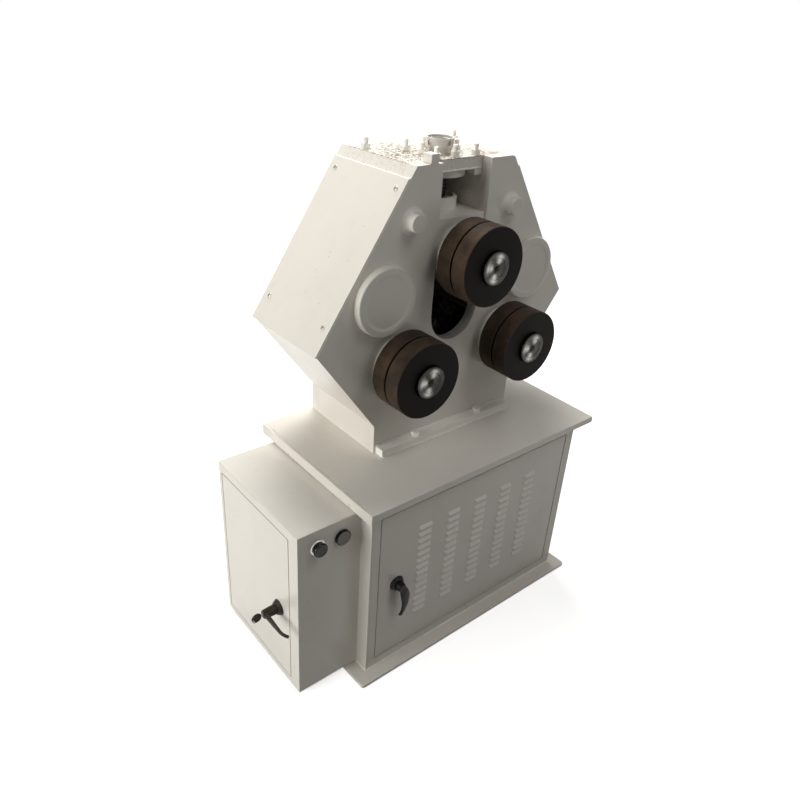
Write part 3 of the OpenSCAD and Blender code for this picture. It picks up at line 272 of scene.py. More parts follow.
def hexagon(name, across, low, high, centre=(0, 0, 0), facing="+Z", domed=True):
    """A hexagon between two heights: a plain one, or a nut or head with its corners turned off."""
    corner = across / math.sqrt(3)
    bpy.ops.mesh.primitive_cylinder_add(vertices=6, radius=corner * MM, depth=(high - low) * MM,
                                        location=(0, 0, (low + high) / 2 * MM))
    head = settle(named(name))
    if domed:
        face, off = 0.9 * corner, 0.07 * across * 0.55
        cone = turned(name + "_cone", [(face, low), (corner, low + off), (corner, high - off),
                                       (face, high)], sides=36)
        modify(head, "BOOLEAN", operation="INTERSECT", object=cone, solver="EXACT")
        bpy.data.objects.remove(cone)
    outward(head)
    smooth(head, math.radians(20))
    return place(head, centre, facing)


def cut(piece, *cutters):
    """Cuts the cutters out of a piece."""
    tool = joined("cutter", list(cutters))
    outward(tool)
    modify(piece, "BOOLEAN", operation="DIFFERENCE", object=tool, solver="EXACT")
    bpy.data.objects.remove(tool)
    return outward(piece)


def draw_in(piece, centre, axis, inner, outer, share):
    """Draws the corners between two radii, round a point on a shaft's axis, towards that axis."""
    centre = Vector(centre) * MM
    aside = [i for i in range(3) if i != axis]
    open_mesh(piece, "VERT")
    pick(piece, "VERT", lambda v: (v.co - centre).length < outer * MM
         and math.hypot(*(v.co[i] - centre[i] for i in aside)) > inner * MM)
    bpy.ops.transform.resize(value=[1 if i == axis else share for i in range(3)],
                             center_override=centre)
    close_mesh()


def eased(node, width):
    """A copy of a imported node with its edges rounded."""
    piece = copy_of(frame["nodes"][node], node + "_eased")
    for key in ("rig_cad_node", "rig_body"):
        if key in piece:
            del piece[key]
    only(piece)
    bpy.ops.object.parent_clear(type="CLEAR_KEEP_TRANSFORM")
    open_mesh(piece)
    bpy.ops.mesh.select_all(action="SELECT")
    bpy.ops.mesh.remove_doubles(threshold=PACKED_DOUBLE)
    bpy.ops.mesh.dissolve_limited(angle_limit=math.radians(0.4))
    close_mesh()
    piece.data.materials.clear()
    if node in ROSES:
        draw_in(piece, *ROSES[node], 18.8, 28, 0.82)
    return ease(piece, width)


# Finishes


def tone(red, green, blue):
    """A colour in the numbers of a picture, 0 to 255, as light."""
    return tuple((c / 255 / 12.92) if c <= 10 else ((c / 255 + 0.055) / 1.055) ** 2.4
                 for c in (red, green, blue)) + (1.0,)


class Wire:
    """A value or colour between two nodes, with the signs of arithmetic."""

    def __init__(self, finish, socket):
        self.finish = finish
        self.socket = socket

    def sum(self, operation, *values, clamp=False):
        return self.finish.node("ShaderNodeMath", {"operation": operation, "use_clamp": clamp},
                                dict(enumerate(values)))

    def __add__(self, other):
        return self.sum("ADD", self, other)

    def __sub__(self, other):
        return self.sum("SUBTRACT", self, other)

    def __rsub__(self, other):
        return self.sum("SUBTRACT", other, self)

    def __mul__(self, other):
        return self.sum("MULTIPLY", self, other)

    def __pow__(self, other):
        return self.sum("POWER", self, other)

    __radd__ = __add__
    __rmul__ = __mul__

    def size(self):
        return self.sum("ABSOLUTE", self)

    def sine(self):
        return self.sum("SINE", self)

    def limited(self):
        return self.sum("ADD", self, 0.0, clamp=True)

    def rise(self, low, high):
        """0 below low, 1 above high, and smooth between them."""
        return self.finish.node("ShaderNodeMapRange", {"interpolation_type": "SMOOTHSTEP"},
                                {"Value": self, "From Min": low, "From Max": high})

    def most(self, other):
        return self.sum("MAXIMUM", self, other)


class Nodes:
    """A node tree, and the nodes that are added to it."""

    def __init__(self, tree):
        self.tree = tree

    def node(self, kind, settings=None, inputs=None, output=0):
        """A node with its settings, its inputs fed by values or wires, and one output."""
        made = self.tree.nodes.new(kind)
        for name, value in (settings or {}).items():
            setattr(made, name, value)
        for key, value in (inputs or {}).items():
            if isinstance(value, Wire):
                self.tree.links.new(value.socket, made.inputs[key])
            else:
                made.inputs[key].default_value = value
        return Wire(self, made.outputs[output])

    def outputs(self, wire, *names):
        """Several outputs of the node that a wire comes from."""
        return [Wire(self, wire.socket.node.outputs[name]) for name in names]

    def seen_directly(self):
        """1 for rays from the camera, and for those that a shiny or clear surface sends on."""
        path = self.node("ShaderNodeLightPath")
        camera, glossy, through = self.outputs(path, "Is Camera Ray", "Is Glossy Ray",
                                               "Is Transmission Ray")
        return camera.most(glossy).most(through)

    def show(self, wire, end):
        """Lets a wire feed the surface of the tree's end node."""
        self.tree.links.new(wire.socket, self.tree.nodes[end].inputs["Surface"])


class Finish(Nodes):
    """One material and the nodes that make it."""

    def __init__(self, name, **numbers):
        self.material = bpy.data.materials.new(name)
        self.material.use_nodes = True
        super().__init__(self.material.node_tree)
        self.shader = self.tree.nodes["Principled BSDF"]
        self.at = self.node("ShaderNodeTexCoord", {}, {}, "Object")
        for name, value in numbers.items():
            self.shader.inputs[name.replace("_", " ")].default_value = value

    def parts(self):
        """The X, Y and Z of a point on the piece, in metres."""
        return self.outputs(self.node("ShaderNodeSeparateXYZ", {}, {0: self.at}), 0, 1, 2)

    def noise(self, scale, detail=3.0, rough=0.5, at=None, bend=0.0):
        return self.node("ShaderNodeTexNoise", {}, {
            "Vector": at or self.at, "Scale": scale, "Detail": detail, "Roughness": rough,
            "Distortion": bend})

    def stretched(self, x, y, z):
        """The point on the piece, stretched along its axes."""
        return self.node("ShaderNodeMapping", {}, {"Vector": self.at, "Scale": (x, y, z)})

    def mix(self, factor, first, second):
        """A colour between two."""
        return self.node("ShaderNodeMix", {"data_type": "RGBA"},
                         {0: factor, 6: first, 7: second}, 2)

    def feed(self, **sockets):
        for name, wire in sockets.items():
            self.tree.links.new(wire.socket, self.shader.inputs[name.replace("_", " ")])
        return self

    def bump(self, height, depth, strength=1.0, under=None):
        """A bump of a height pattern, its depth in metres, over another bump."""
        inputs = {"Height": height, "Distance": depth, "Strength": strength}
        if under is not None:
            inputs["Normal"] = under
        return self.node("ShaderNodeBump", {}, inputs, "Normal")


def near_edges(finish, low, high, width):
    """1 on the edges of the box between two corners, fading to 0 over a width."""
    near = []
    for wire, a, b in zip(finish.parts(), low, high):
        near.append((wire - (a + b) / 2).size().rise((b - a) / 2 - width, (b - a) / 2))
    x, y, z = near
    return (x * y).most(y * z).most(x * z)


IVORY = tone(236, 232, 224)


def paint(name, edges=None, rough_cast=False, darker_low=False, shade=IVORY):
    """Ivory machine enamel, sprayed over filler, with dust, scuffs and chipped edges."""
    it = Finish(name, IOR=1.36)
    clouds = it.noise(2.4, 4, 0.6)
    colour = it.mix(clouds.rise(0.35, 0.7), shade, [c * 0.94 for c in shade[:3]] + [1])
    dust = it.noise(11, 6, 0.72).rise(0.55, 0.8) * it.noise(1.7, 2).rise(0.4, 0.65)
    colour = it.mix(dust * 0.35, colour, tone(198, 190, 176))
    runs = it.noise(6, 4, 0.6, at=it.stretched(4.5, 4.5, 0.45)).rise(0.56, 0.82)
    colour = it.mix(runs * 0.16, colour, tone(205, 196, 180))
    specks = it.noise(150, 2, 0.5).rise(0.735, 0.765) * it.noise(9, 2).rise(0.45, 0.6)
    colour = it.mix(specks * 0.6, colour, tone(116, 104, 88))
    scuffs = it.noise(34, 5, 0.7, at=it.stretched(0.35, 1.6, 2.4), bend=0.4).rise(0.69, 0.78)
    colour = it.mix(scuffs * 0.28, colour, tone(168, 162, 152))
    rough = clouds * 0.14 + dust * 0.18 + scuffs * 0.12 + 0.25
    grain = it.bump(it.noise(420, 2, 0.4), 0.00016, 0.45)
    wave = it.bump(it.noise(26, 3, 0.5), 0.0007, 0.35, grain)
    if edges:
        chips = near_edges(it, *edges) * it.noise(55, 4, 0.65).rise(0.64, 0.7)
        colour = it.mix(chips * 0.6, colour, tone(112, 98, 84))
        wave = it.bump(1 - chips, 0.0004, 0.5, wave)
    if darker_low:
        # darker towards the bottom: below about 0.93 m the colour turns nearly black, in blotches,
        # and a little smoother
        low_down = 1 - it.parts()[2].rise(0.93, 1.03)
        film = (low_down * (it.noise(30, 4, 0.6) * 0.5 + 0.7)).limited()
        colour = it.mix(film * 0.93, colour, tone(30, 27, 22))
        rough = rough - film * 0.08
    if rough_cast:
        x, y, z = it.parts()
        top = z.rise(1.2195, 1.2215)
        # a patch of dense dark speckle on the roof's top, left of the press screw
        patch_reach = ((x - 0.016 + 0.06).size() * 5.5 + (y - 0.07).size() * 5.0)
        patch = (1 - patch_reach.rise(0.3, 1.3)) * top
        patch_specks = it.noise(150, 3, 0.75).rise(0.5, 0.55)
        colour = it.mix((patch * 0.95 + 0.12) * patch_specks * 0.95, colour, tone(84, 72, 54))
        everywhere = it.noise(120, 3, 0.75).rise(0.57, 0.62) * top
        colour = it.mix(everywhere * 0.7, colour, tone(122, 110, 90))
        rust = 1 - ((x - 0.016 - 0.103).size() * 13 + (y - 0.006).size() * 11).rise(0.25, 1.0)
        rust = rust * top * it.noise(120, 5, 0.7).rise(0.36, 0.62)
        colour = it.mix(rust * 0.85, colour, tone(140, 108, 88))
        rough = (rough + (patch + rust) * 0.35 + top * 0.25).limited()
        lumps = it.bump(it.noise(300, 4, 0.7) * top, 0.0022, 0.8)
        wave = it.bump(it.noise(26, 3, 0.5), 0.0007, 0.35, lumps)
    return it.feed(Base_Color=colour, Roughness=rough, Normal=wave).material


def from_axis(it, x, z):
    """How far a point lies to the right of, above and away from an axis along Y, in metres."""
    along, _, up = it.parts()
    right, above = along - x, up - z
    return right, above, (right * right + above * above) ** 0.5


def ripple(length, spacing):
    """Even waves over a length, which bump into fine lines or rings."""
    return (length * (2 * math.pi / spacing)).sine()


def painted_glint_wedges(it, right, above, radius):
    """Painted highlight: pale sectors in the colour of a turned end, standing in for the light that
    its rings throw back.
    """
    turn = it.node("ShaderNodeMath", {"operation": "ARCTAN2"}, {0: above, 1: right})
    upright = ((turn * 2 - 1.0).sine() * 0.5 + 0.5) ** 7
    aside = ((turn - 1.36).sine() * 0.5 + 0.5) ** 26
    face = radius.rise(0.009, 0.017) * (1 - radius.rise(0.028, 0.0385))
    return upright.most(aside) * face


def roller_finish(name, x, z):
    """Hardened roller steel, brown-black from its heat, rubbed on the rim, with rust in spots."""
    it = Finish(name, Metallic=0.1, IOR=1.13)
    radius = from_axis(it, x, z)[2]
    rim = radius.rise(0.0915, 0.0935)
    blotch = it.noise(17, 5, 0.62)
    colour = it.mix(blotch.rise(0.38, 0.66), tone(13, 12, 10), tone(21, 17, 14))
    browner = it.mix(blotch.rise(0.3, 0.7), tone(56, 50, 42), tone(88, 71, 58))
    colour = it.mix(rim * 0.75, colour, browner)
    rust = it.noise(52, 6, 0.7).rise(0.58, 0.72)
    colour = it.mix(rust * 0.35, colour, tone(62, 40, 29))
    rough = 0.42 + blotch * 0.2 + rust * 0.2
    cuts = ripple(radius, 0.0011) * (1 - rim) + ripple(it.parts()[1], 0.0009) * rim
    dents = it.bump(it.noise(130, 3, 0.6), 0.0003, 0.35, it.bump(cuts, 0.00003, 0.5))
    return it.feed(Base_Color=colour, Roughness=rough, Normal=dents).material


def turned_steel(name, x, z):
    """Bright steel from the lathe, with rings, oil stains, light scratches and a painted highlight
    on its end.
    """
    it = Finish(name, Metallic=1.0)
    right, above, radius = from_axis(it, x, z)
    stain = it.noise(44, 5, 0.65)
    colour = it.mix(stain.rise(0.4, 0.72), tone(58, 56, 52), tone(38.28, 36.96, 34.32))
    bands = ((radius * 410).sine() * 0.5 + 0.5) * 0.35
    colour = it.mix(bands, colour, tone(40.6, 39.2, 36.4))
    # painted highlight: pale sectors on the shaft's end face, mixed into its colour
    painted_glints = painted_glint_wedges(it, right, above, radius) * (stain * 0.9 + 0.5).limited()
    colour = it.mix(painted_glints, colour, tone(176, 174, 168))
    rough = 0.16 + stain * 0.22
    scratch = it.bump(it.noise(90, 4, 0.6), 0.0001, 0.3)
    return it.feed(Base_Color=colour, Roughness=rough,
                   Normal=it.bump(ripple(radius, 0.0012), 0.00012, 1.0, scratch)).material


def steel(name, shade, rough=0.4, metal=1.0, dirt=0.5, grime=(44, 36, 28)):
    """Plain steel with grease in its low spots."""
    it = Finish(name, Metallic=metal)
    film = it.noise(38, 5, 0.66)
    colour = it.mix(film.rise(0.35, 0.7) * dirt, tone(*shade), tone(*grime))
    fine = it.bump(it.noise(260, 3, 0.6), 0.0002, 0.4)
    return it.feed(Base_Color=colour, Roughness=film * 0.25 + rough,
                   Normal=it.bump(film, 0.0004, 0.25, fine)).material


def cast_metal(name, shade, rough=0.38):
    """Zinc handle metal under a worn dark lacquer."""
    it = Finish(name, Metallic=0.1, IOR=1.24)
    film = it.noise(60, 5, 0.65)
    colour = it.mix(film.rise(0.4, 0.72), tone(*shade), tone(*[min(255, c * 1.5) for c in shade]))
    rubbed = it.noise(160, 4, 0.7).rise(0.62, 0.72)
    colour = it.mix(rubbed * 0.25, colour, tone(148, 140, 130))
    return it.feed(Base_Color=colour, Roughness=film * 0.2 + rough,
                   Normal=it.bump(it.noise(330, 3, 0.5), 0.00018, 0.5)).material


def plastic(name, shade, rough=0.2, grain=0.25):
    """Moulded plastic with a fine skin and a little dust."""
    it = Finish(name, IOR=1.34)
    film = it.noise(75, 4, 0.6)
    colour = it.mix(film.rise(0.5, 0.8) * 0.25, tone(*shade), tone(*[c * 0.6 + 60 for c in shade]))
    return it.feed(Base_Color=colour, Roughness=film * 0.18 + rough,
                   Normal=it.bump(it.noise(700, 2, 0.4), 0.00006, grain)).material


def enamel(name, shade):
    """Bought-in units' enamel, with dust on it."""
    it = Finish(name, IOR=1.5)
    film = it.noise(9, 5, 0.65)
    colour = it.mix(film.rise(0.4, 0.75) * 0.5, tone(*shade), tone(*[c * 0.72 + 34 for c in shade]))
    return it.feed(Base_Color=colour, Roughness=film * 0.2 + 0.35,
                   Normal=it.bump(it.noise(300, 3, 0.5), 0.0003, 0.5)).material


def wear(piece, material, body, node=None):
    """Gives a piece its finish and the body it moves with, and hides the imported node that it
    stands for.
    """
    piece.data.materials.clear()
    piece.data.materials.append(material)
    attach(piece, body)
    if node:
        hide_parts(node)


def refinish(node, material):
    """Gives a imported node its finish."""
    slots = frame["nodes"][node].data.materials
    if len(slots) == 0:
        slots.append(material)
    for i in range(len(slots)):
        slots[i] = material


ivory = paint("ivory_enamel")
ivory_base = paint("ivory_enamel_base", edges=(*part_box("base_plate"), 0.004))
ivory_table = paint("ivory_enamel_table", edges=(*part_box("table_plate"), 0.0035))
ivory_roof = paint("ivory_enamel_roof", rough_cast=True)
bolt_steel = steel("zinc_screws", (176, 172, 162), 0.3, dirt=0.4)
dark_steel = steel("oiled_steel", (92, 88, 84), 0.34, dirt=0.75)
gear_steel = steel("greased_gear_steel", (132, 126, 116), 0.3, 0.45, 0.7)
chain_steel = steel("greased_chain_steel", (74, 70, 66), 0.3, dirt=0.7)
handle_metal = cast_metal("handle_lacquer", (17, 15, 13), 0.3)
box_handle_metal = cast_metal("box_handle_lacquer", (48, 43, 38), 0.34)
key_metal = steel("key_nickel", (168, 162, 152), 0.25, dirt=0.3)
black = plastic("black_plastic", (9, 9, 10), 0.06, 0.05)
black_matt = plastic("black_matt_plastic", (26, 26, 27), 0.42)
ring_metal = steel("button_ring_metal", (188, 186, 180), 0.24, dirt=0.2, grime=(120, 116, 108))
painted_steel = paint("ivory_enamel_screws")
ivory_door = paint("ivory_enamel_door")
ivory_slot = paint("ivory_enamel_slot", darker_low=True)
ivory_front = paint("ivory_enamel_front")
# A lighter copy of the ivory enamel: painted light, which makes the louvre hoods, foot flanges,
# bolts and weld beads read brighter than the plain paint
ivory_painted_light = paint("ivory_enamel_painted_light", shade=tone(255, 252, 245))
# A darker copy of the ivory enamel: painted shade on the nut drum and press nut
ivory_drum_painted_shade = paint("ivory_enamel_drum_painted_shade", shade=tone(206, 202, 194))
grey = plastic("grey_plastic", (124, 118, 108), 0.4)
unit_grey = plastic("switch_plastic", (150, 152, 150), 0.4)
unit_blue = enamel("gearbox_enamel", (76, 92, 108))
zinc = steel("zinc_plate", (182, 184, 180), 0.32, dirt=0.2, grime=(120, 118, 110))

# Sizes taken from the frame


def box_mm(node):
    """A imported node's lowest and highest corners in millimetres."""
    low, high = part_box(node)
    return low / MM, high / MM


def middle_mm(node):
    """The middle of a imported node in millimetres."""
    low, high = box_mm(node)
    return (low + high) / 2


plate_low, plate_high = box_mm("head_front_plate")
HC = (plate_low.x + plate_high.x) / 2
FRONT, TOP = plate_low.y, plate_high.z
BACK = box_mm("head_back_plate")[1].y
block_low, block_high = box_mm("slide_block")
screw_y = (block_low.y + block_high.y) / 2
cabinet_low, cabinet_high = box_mm("cabinet_walls")
box_low, box_high = box_mm("control_box_walls")
HANDLE_X, HANDLE_Z = -270, 265
KNOB_Y, KNOB_Z, KNOB_OUT = -90, 232, 44
ROSES = {"cabinet_door_fittings": ((HANDLE_X, cabinet_low.y, HANDLE_Z), 1),
         "box_door_fittings": ((box_low.x, KNOB_Y, KNOB_Z), 0)}

# Plates and sheets

for node, width, material in (
        ("base_plate", 1.4, ivory_base), ("table_plate", 1.6, ivory_table),
        ("table_edge_bar", 1.2, ivory_table), ("cabinet_walls", 0.9, ivory),
        ("cabinet_front_frame", 0.8, ivory), ("control_box_walls", 0.9, ivory),
        ("control_box_frame", 0.8, ivory), ("control_box_door", 0.8, ivory),
        ("head_front_plate", 1.4, ivory_front), ("head_back_plate", 1.4, ivory),
        ("head_roof_plate", 1.2, ivory_roof), ("head_side_plates", 1.0, ivory),
        ("left_head_cover", 0.7, ivory), ("right_head_cover", 0.7, ivory),
        # the foot flanges take the lighter copy of the enamel, as painted light
        ("foot_flanges", 1.6, ivory_painted_light), ("stop_block", 1.2, ivory),
        ("slide_block", 1.2, ivory_slot), ("guide_rails", 0.8, ivory_slot),
        ("nut_housing", 1.6, ivory_slot), ("mounting_plate", 0.4, zinc),
        ("cabinet_door_fittings", 0.8, handle_metal), ("box_door_fittings", 0.8, box_handle_metal),
        # the drum and nut take the darker copy of the enamel, as painted shade
        ("nut_drum", 1.6, ivory_drum_painted_shade), ("press_nut", 1.0, ivory_drum_painted_shade),
        ("side_sleeves", 0.8, dark_steel), ("shaft_bearings", 0.8, bolt_steel),
        ("block_bearings", 0.8, bolt_steel), ("drive_shaft", 1.0, dark_steel),
        ("output_shaft", 1.0, dark_steel), ("lower_left_gear", 0.5, gear_steel),
        ("lower_right_gear", 0.5, gear_steel), ("drive_gear", 0.5, gear_steel),
        ("head_sprocket", 0.6, gear_steel), ("cabinet_sprocket", 0.6, gear_steel),
        ("gearbox_housing", 3.0, unit_blue), ("drive_bench", 1.2, unit_blue)):
    wear(eased(node, width), material, frame["nodes"][node]["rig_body"], node=node)

# Rollers and shafts


def set_out(template, name, spots):
    """Copies a piece to each spot, a centre and a facing, and drops the piece itself."""
    made = [place(copy_of(template, f"{name}_{i + 1}"), *spot) for i, spot in enumerate(spots)]
    bpy.data.objects.remove(template)
    return made


SHAFT_R, SHOULDER_R, GROOVE, GROOVE_DEEP = 40, 47, 4, 20
BORE_R = SHAFT_R + 0.2
KEY_W, KEY_TOP, KEY_FOOT, KEY_IN = 22, SHAFT_R + 5, 31, 16
ROUND_EDGE = ((3, 0), (1.3, 0.5), (0.3, 1.5), (0, 2.6))


def roller(side, rings_node, shaft_node, shoulder_y):
    """A roller of two rings on its shaft, with the key that holds them."""
    body = f"{side}_roller"
    low, high = box_mm(rings_node)
    x, z = (low.x + high.x) / 2, (low.z + high.z) / 2
    r, wide = (high.x - low.x) / 2, high.y - low.y
    ring = (wide - GROOVE) / 2
    rise = [(r - inward, up) for inward, up in ROUND_EDGE]
    rise += [(r - inward, ring - up) for inward, up in reversed(ROUND_EDGE)]
    profile = [(BORE_R, 0)] + rise + [(r - GROOVE_DEEP, ring), (r - GROOVE_DEEP, ring + GROOVE)]
    profile += [(radius, ring + GROOVE + up) for radius, up in rise]
    profile += [(BORE_R + 1, wide), (BORE_R, wide - 1), (BORE_R, 0)]
    made = turned(f"{side}_roller_rings_turned", profile, (x, high.y, z), "-Y", 128, True)
    cut(made, slab("keyway", (x - KEY_W / 2 - 0.1, low.y + KEY_IN - 2, z),
                   (x + KEY_W / 2 + 0.1, high.y + 2, z + KEY_TOP + 0.2)))
    smooth(made)
    wear(made, roller_finish(f"{side}_roller_steel", x * MM, z * MM), body,
         rings_node)

    nose, end = (corner.y for corner in box_mm(shaft_node))
    line = [(SHAFT_R - 2, end), (SHAFT_R, end - 2), (SHAFT_R, shoulder_y),
            (SHOULDER_R - 1, shoulder_y), (SHOULDER_R, shoulder_y - 1), (SHOULDER_R, high.y),
            (SHAFT_R, high.y), (SHAFT_R, nose + 2.2), (SHAFT_R - 0.5, nose + 0.9),
            (SHAFT_R - 1.6, nose + 0.1),
            (SHAFT_R - 2.6, nose), (27, nose + 0.5), (26.4, nose + 1.3), (25, nose + 1.3),
            (24.2, nose + 0.6), (12, nose + 0.9), (11.4, nose + 0.5), (8.4, nose + 0.6),
            (7.6, nose + 1.4), (3.2, nose + 8.6), (3, nose + 16)]
    axle = turned(f"{side}_shaft_turned", [(radius, end - y) for radius, y in line], (x, end, z),
                  "-Y", 96)
    wear(axle, turned_steel(f"{side}_shaft_steel", x * MM, z * MM), body,
         shaft_node)
    key = ease(slab(f"{side}_roller_key", (x - KEY_W / 2, low.y + KEY_IN, z + KEY_FOOT),
                    (x + KEY_W / 2, high.y - 0.5, z + KEY_TOP)), 0.6)
    wear(key, dark_steel, body)


SHOULDER_GAP = 0.3
for side, face in (("top", block_low.y), ("lower_left", FRONT), ("lower_right", FRONT)):
    rings_node = "top_roller_rings" if side == "top" else side + "_rings"
    roller(side, rings_node, side + "_shaft", face - SHOULDER_GAP)

# Bearing covers and screws

COVER_R, COVER_T, COVER_BORE, PITCH_R, COVER_SCREWS = 73, 10, 50, 67.5, 6


def socket_screw(name):
    """A socket screw's head, standing on the origin."""
    head = turned(name, [(5, 0), (5, 5), (4.8, 5.6), (4.3, 6)], sides=24)
    cut(head, hexagon("socket", 4.4, 2.4, 8, domed=False))
    return smooth(head)


def cover_set(name, x, z, y, facing, body, open_bore, cover_node, screws_node):
    """A bearing's cover with its screws."""
    out = [(COVER_R, 0), (COVER_R, COVER_T - 1.6), (COVER_R - 0.5, COVER_T - 0.5),
           (COVER_R - 1.6, COVER_T)]
    if open_bore:
        rings = [(COVER_BORE, 0)] + out + [(COVER_BORE + 1.6, COVER_T),
                                           (COVER_BORE, COVER_T - 1.6), (COVER_BORE, 0)]
    else:
        rings = out + [(COVER_R - 14, COVER_T), (COVER_R - 15, COVER_T - 0.8),
                       (20, COVER_T - 0.8)]
    cover = turned(f"{name}_cover", rings, (x, y, z), facing, 96, open_bore)
    wear(cover, ivory, body, cover_node)
    y += -COVER_T if facing == "-Y" else COVER_T
    spots = []
    for k in range(COVER_SCREWS):
        angle = 2 * math.pi * (k + 0.5) / COVER_SCREWS
        spots.append(((x + PITCH_R * math.cos(angle), y, z + PITCH_R * math.sin(angle)), facing))
    screws = joined(f"{name}_cover_screws", set_out(socket_screw("socket_screw"), "screw", spots))
    wear(screws, painted_steel, body, screws_node)


lower = middle_mm("lower_left_rings")
lower_apart = HC - lower.x
for side, x in (("left", HC - lower_apart), ("right", HC + lower_apart)):
    for end, y, facing in (("front", FRONT, "-Y"), ("back", BACK, "+Y")):
        cover_set(f"{side}_{end}", x, lower.z, y, facing, "machine", end == "front",
                  "bearing_covers", "cover_screws")
top_z = middle_mm("top_roller_rings").z
for end, y, facing in (("front", block_low.y, "-Y"), ("back", block_high.y, "+Y")):
    cover_set("block_" + end, HC, top_z, y, facing, "slide", end == "front",
              "block_covers", "block_covers")


def pan_screw(name):
    """A pan-head screw with a cross recess and a length of its shank."""
    head = turned(name, [(2.8, -3), (2.8, 0), (6, 0), (6, 0.7), (5.3, 1.6), (4, 2.2), (2, 2.5)],
                  sides=28)
    cut(head, slab("cross", (-3.4, -0.6, 1.1), (3.4, 0.6, 4)))
    return smooth(cut(head, slab("cross", (-0.6, -3.4, 1.2), (0.6, 3.4, 4))))


# How far a sheet cover leans in for each millimetre that it rises, and its screws' distances
# from its upright edges, its foot and its top
COVER_LEAN, SCREW_IN, SCREW_UP, SCREW_DOWN = 0.66058, 24, 55, 23
for side, sign in (("left", -1), ("right", 1)):
    low, high = box_mm(side + "_head_cover")
    outer_foot = high.x if sign > 0 else low.x
    tilt = (0, sign * (math.pi / 2 - math.atan(COVER_LEAN)), 0)
    screws = []
    for y in (low.y + SCREW_IN, high.y - SCREW_IN):
        for z in (low.z + SCREW_UP, high.z - SCREW_DOWN):
            x = outer_foot - sign * (z - low.z) * COVER_LEAN
            screws.append(shift(pan_screw("pan_screw"), (x, y, z), tilt))
    wear(joined(f"{side}_cover_screws", screws), bolt_steel, "machine",
         "cover_screws")

# Bolts


def threads(radius, low, high, pitch):
    """Rings of a bolt's thread between two heights."""
    rings, at = [], low
    while at < high - pitch:
        rings += [(radius, at), (radius, at + pitch * 0.3), (radius * 0.89, at + pitch * 0.6),
                  (radius * 0.89, at + pitch * 0.8)]
        at += pitch
    return rings + [(radius, at), (radius, high)]


def washer(name, radius, bore):
    """A washer, standing on the origin."""
    return turned(name, [(bore, 0), (radius - 0.4, 0), (radius, 0.5), (radius, 1.5),
                         (radius - 0.5, 2), (bore, 2), (bore, 0)], sides=40, hollow=True)


def foot_bolt(name):
    """The bolt that holds the head down, with its washer."""
    shank = turned(name + "_shank", [(7, -19.5), (7, 3)], sides=24)
    return joined(name, [hexagon(name + "_head", 21.2, 2, 11.1), washer(name + "_washer", 13.3, 6),
                         shank])


def roof_bolt(name):
    """A high stud with a nut and washer at its foot."""
    rings = [(5.4, -27)] + threads(6, -26, 23.5, 2.2) + [(5.2, 25), (3.6, 25.8)]
    shank = turned(name + "_shank", rings, sides=20)
    return joined(name, [hexagon(name + "_nut", 18.6, 2, 12), washer(name + "_washer", 11.6, 5),
                         shank])


FOOT_BOLT_X, FOOT_BOLT_IN = 110, 14
# The roof studs' places, from the press screw
STUDS = ((-61, -58), (61, -58), (-61, 48), (61, 48), (-54, 0), (54, 0), (0, -54), (0, 54),
         (-137, 100), (137, 100))
flange_low, flange_high = box_mm("foot_flanges")
foot_spots = [((HC + x, y, flange_high.z), "+Z") for x in (-FOOT_BOLT_X, FOOT_BOLT_X)
              for y in (flange_low.y + FOOT_BOLT_IN, flange_high.y - FOOT_BOLT_IN)]
stud_spots = [((HC + x, screw_y + y, TOP), "+Z") for x, y in STUDS]
bolts = set_out(foot_bolt("foot_bolt"), "foot_bolt", foot_spots)
bolts += set_out(roof_bolt("roof_bolt"), "roof_bolt", stud_spots)
for piece in bolts:
    # the bolts take the lighter copy of the enamel, as painted light
    wear(piece, ivory_painted_light, "machine", "hex_bolts")

# Caps, bosses and weld beads


CAP_R, BOSS_R, BOSS_OUT, ROD_R = 82, 33, 25, 16


def side_cap(name):
    """A round cap with a soft edge and a shallow dish."""
    return turned(name, [(49.7, -6), (49.7, 0), (81.4, 0), (CAP_R, 0.8), (CAP_R, 13), (81.3, 16),
                         (79.6, 18.1), (77, 19), (68, 19), (66, 18.7), (61, 17.2), (58, 16.6),
                         (30, 16.5)], sides=128)


low, high = box_mm("side_caps")
cap_spots = [((x, y, (low.z + high.z) / 2), facing) for x in (low.x + CAP_R, high.x - CAP_R)
             for y, facing in ((FRONT, "-Y"), (BACK, "+Y"))]
for piece in set_out(side_cap("side_cap"), "side_cap", cap_spots):
    wear(piece, ivory, "machine", "side_caps")

low, high = box_mm("tie_rods")
depth = BACK - FRONT
end = [(19.5, 0), (20.9, 0.7), (21.5, 2.2), (21.5, 15), (22.4, 18.4), (24.6, 21), (28, 23.2),
       (32.6, 24.8)]
rings = end + [(ROD_R, BOSS_OUT + 0.2), (ROD_R, depth + BOSS_OUT - 0.2)]
rings += [(radius, depth + 2 * BOSS_OUT - height) for radius, height in reversed(end)]
for side, x in (("left", low.x + BOSS_R), ("right", high.x - BOSS_R)):
    rod = turned(side + "_tie_rod", rings, (x, BACK + BOSS_OUT, (low.z + high.z) / 2), "-Y", 72)
    wear(rod, ivory, "machine", "tie_rods")


def bead(name, start, end, size, step=5.0):
    """An uneven weld bead laid between two points."""
    start, end = Vector(start), Vector(end)
    count = max(3, round((end - start).length / step))
    points = [start.lerp(end, i / count) + Vector([chance.uniform(-0.4, 0.4) for _ in range(3)])
              for i in range(count + 1)]
    widths = [size * chance.uniform(0.75, 1.2) for _ in points]
    made = pipe(name, points, widths, [w * 0.9 for w in widths], sides=8)
    # beads take the lighter copy of the enamel, as painted light
    wear(made, ivory_painted_light, "machine")


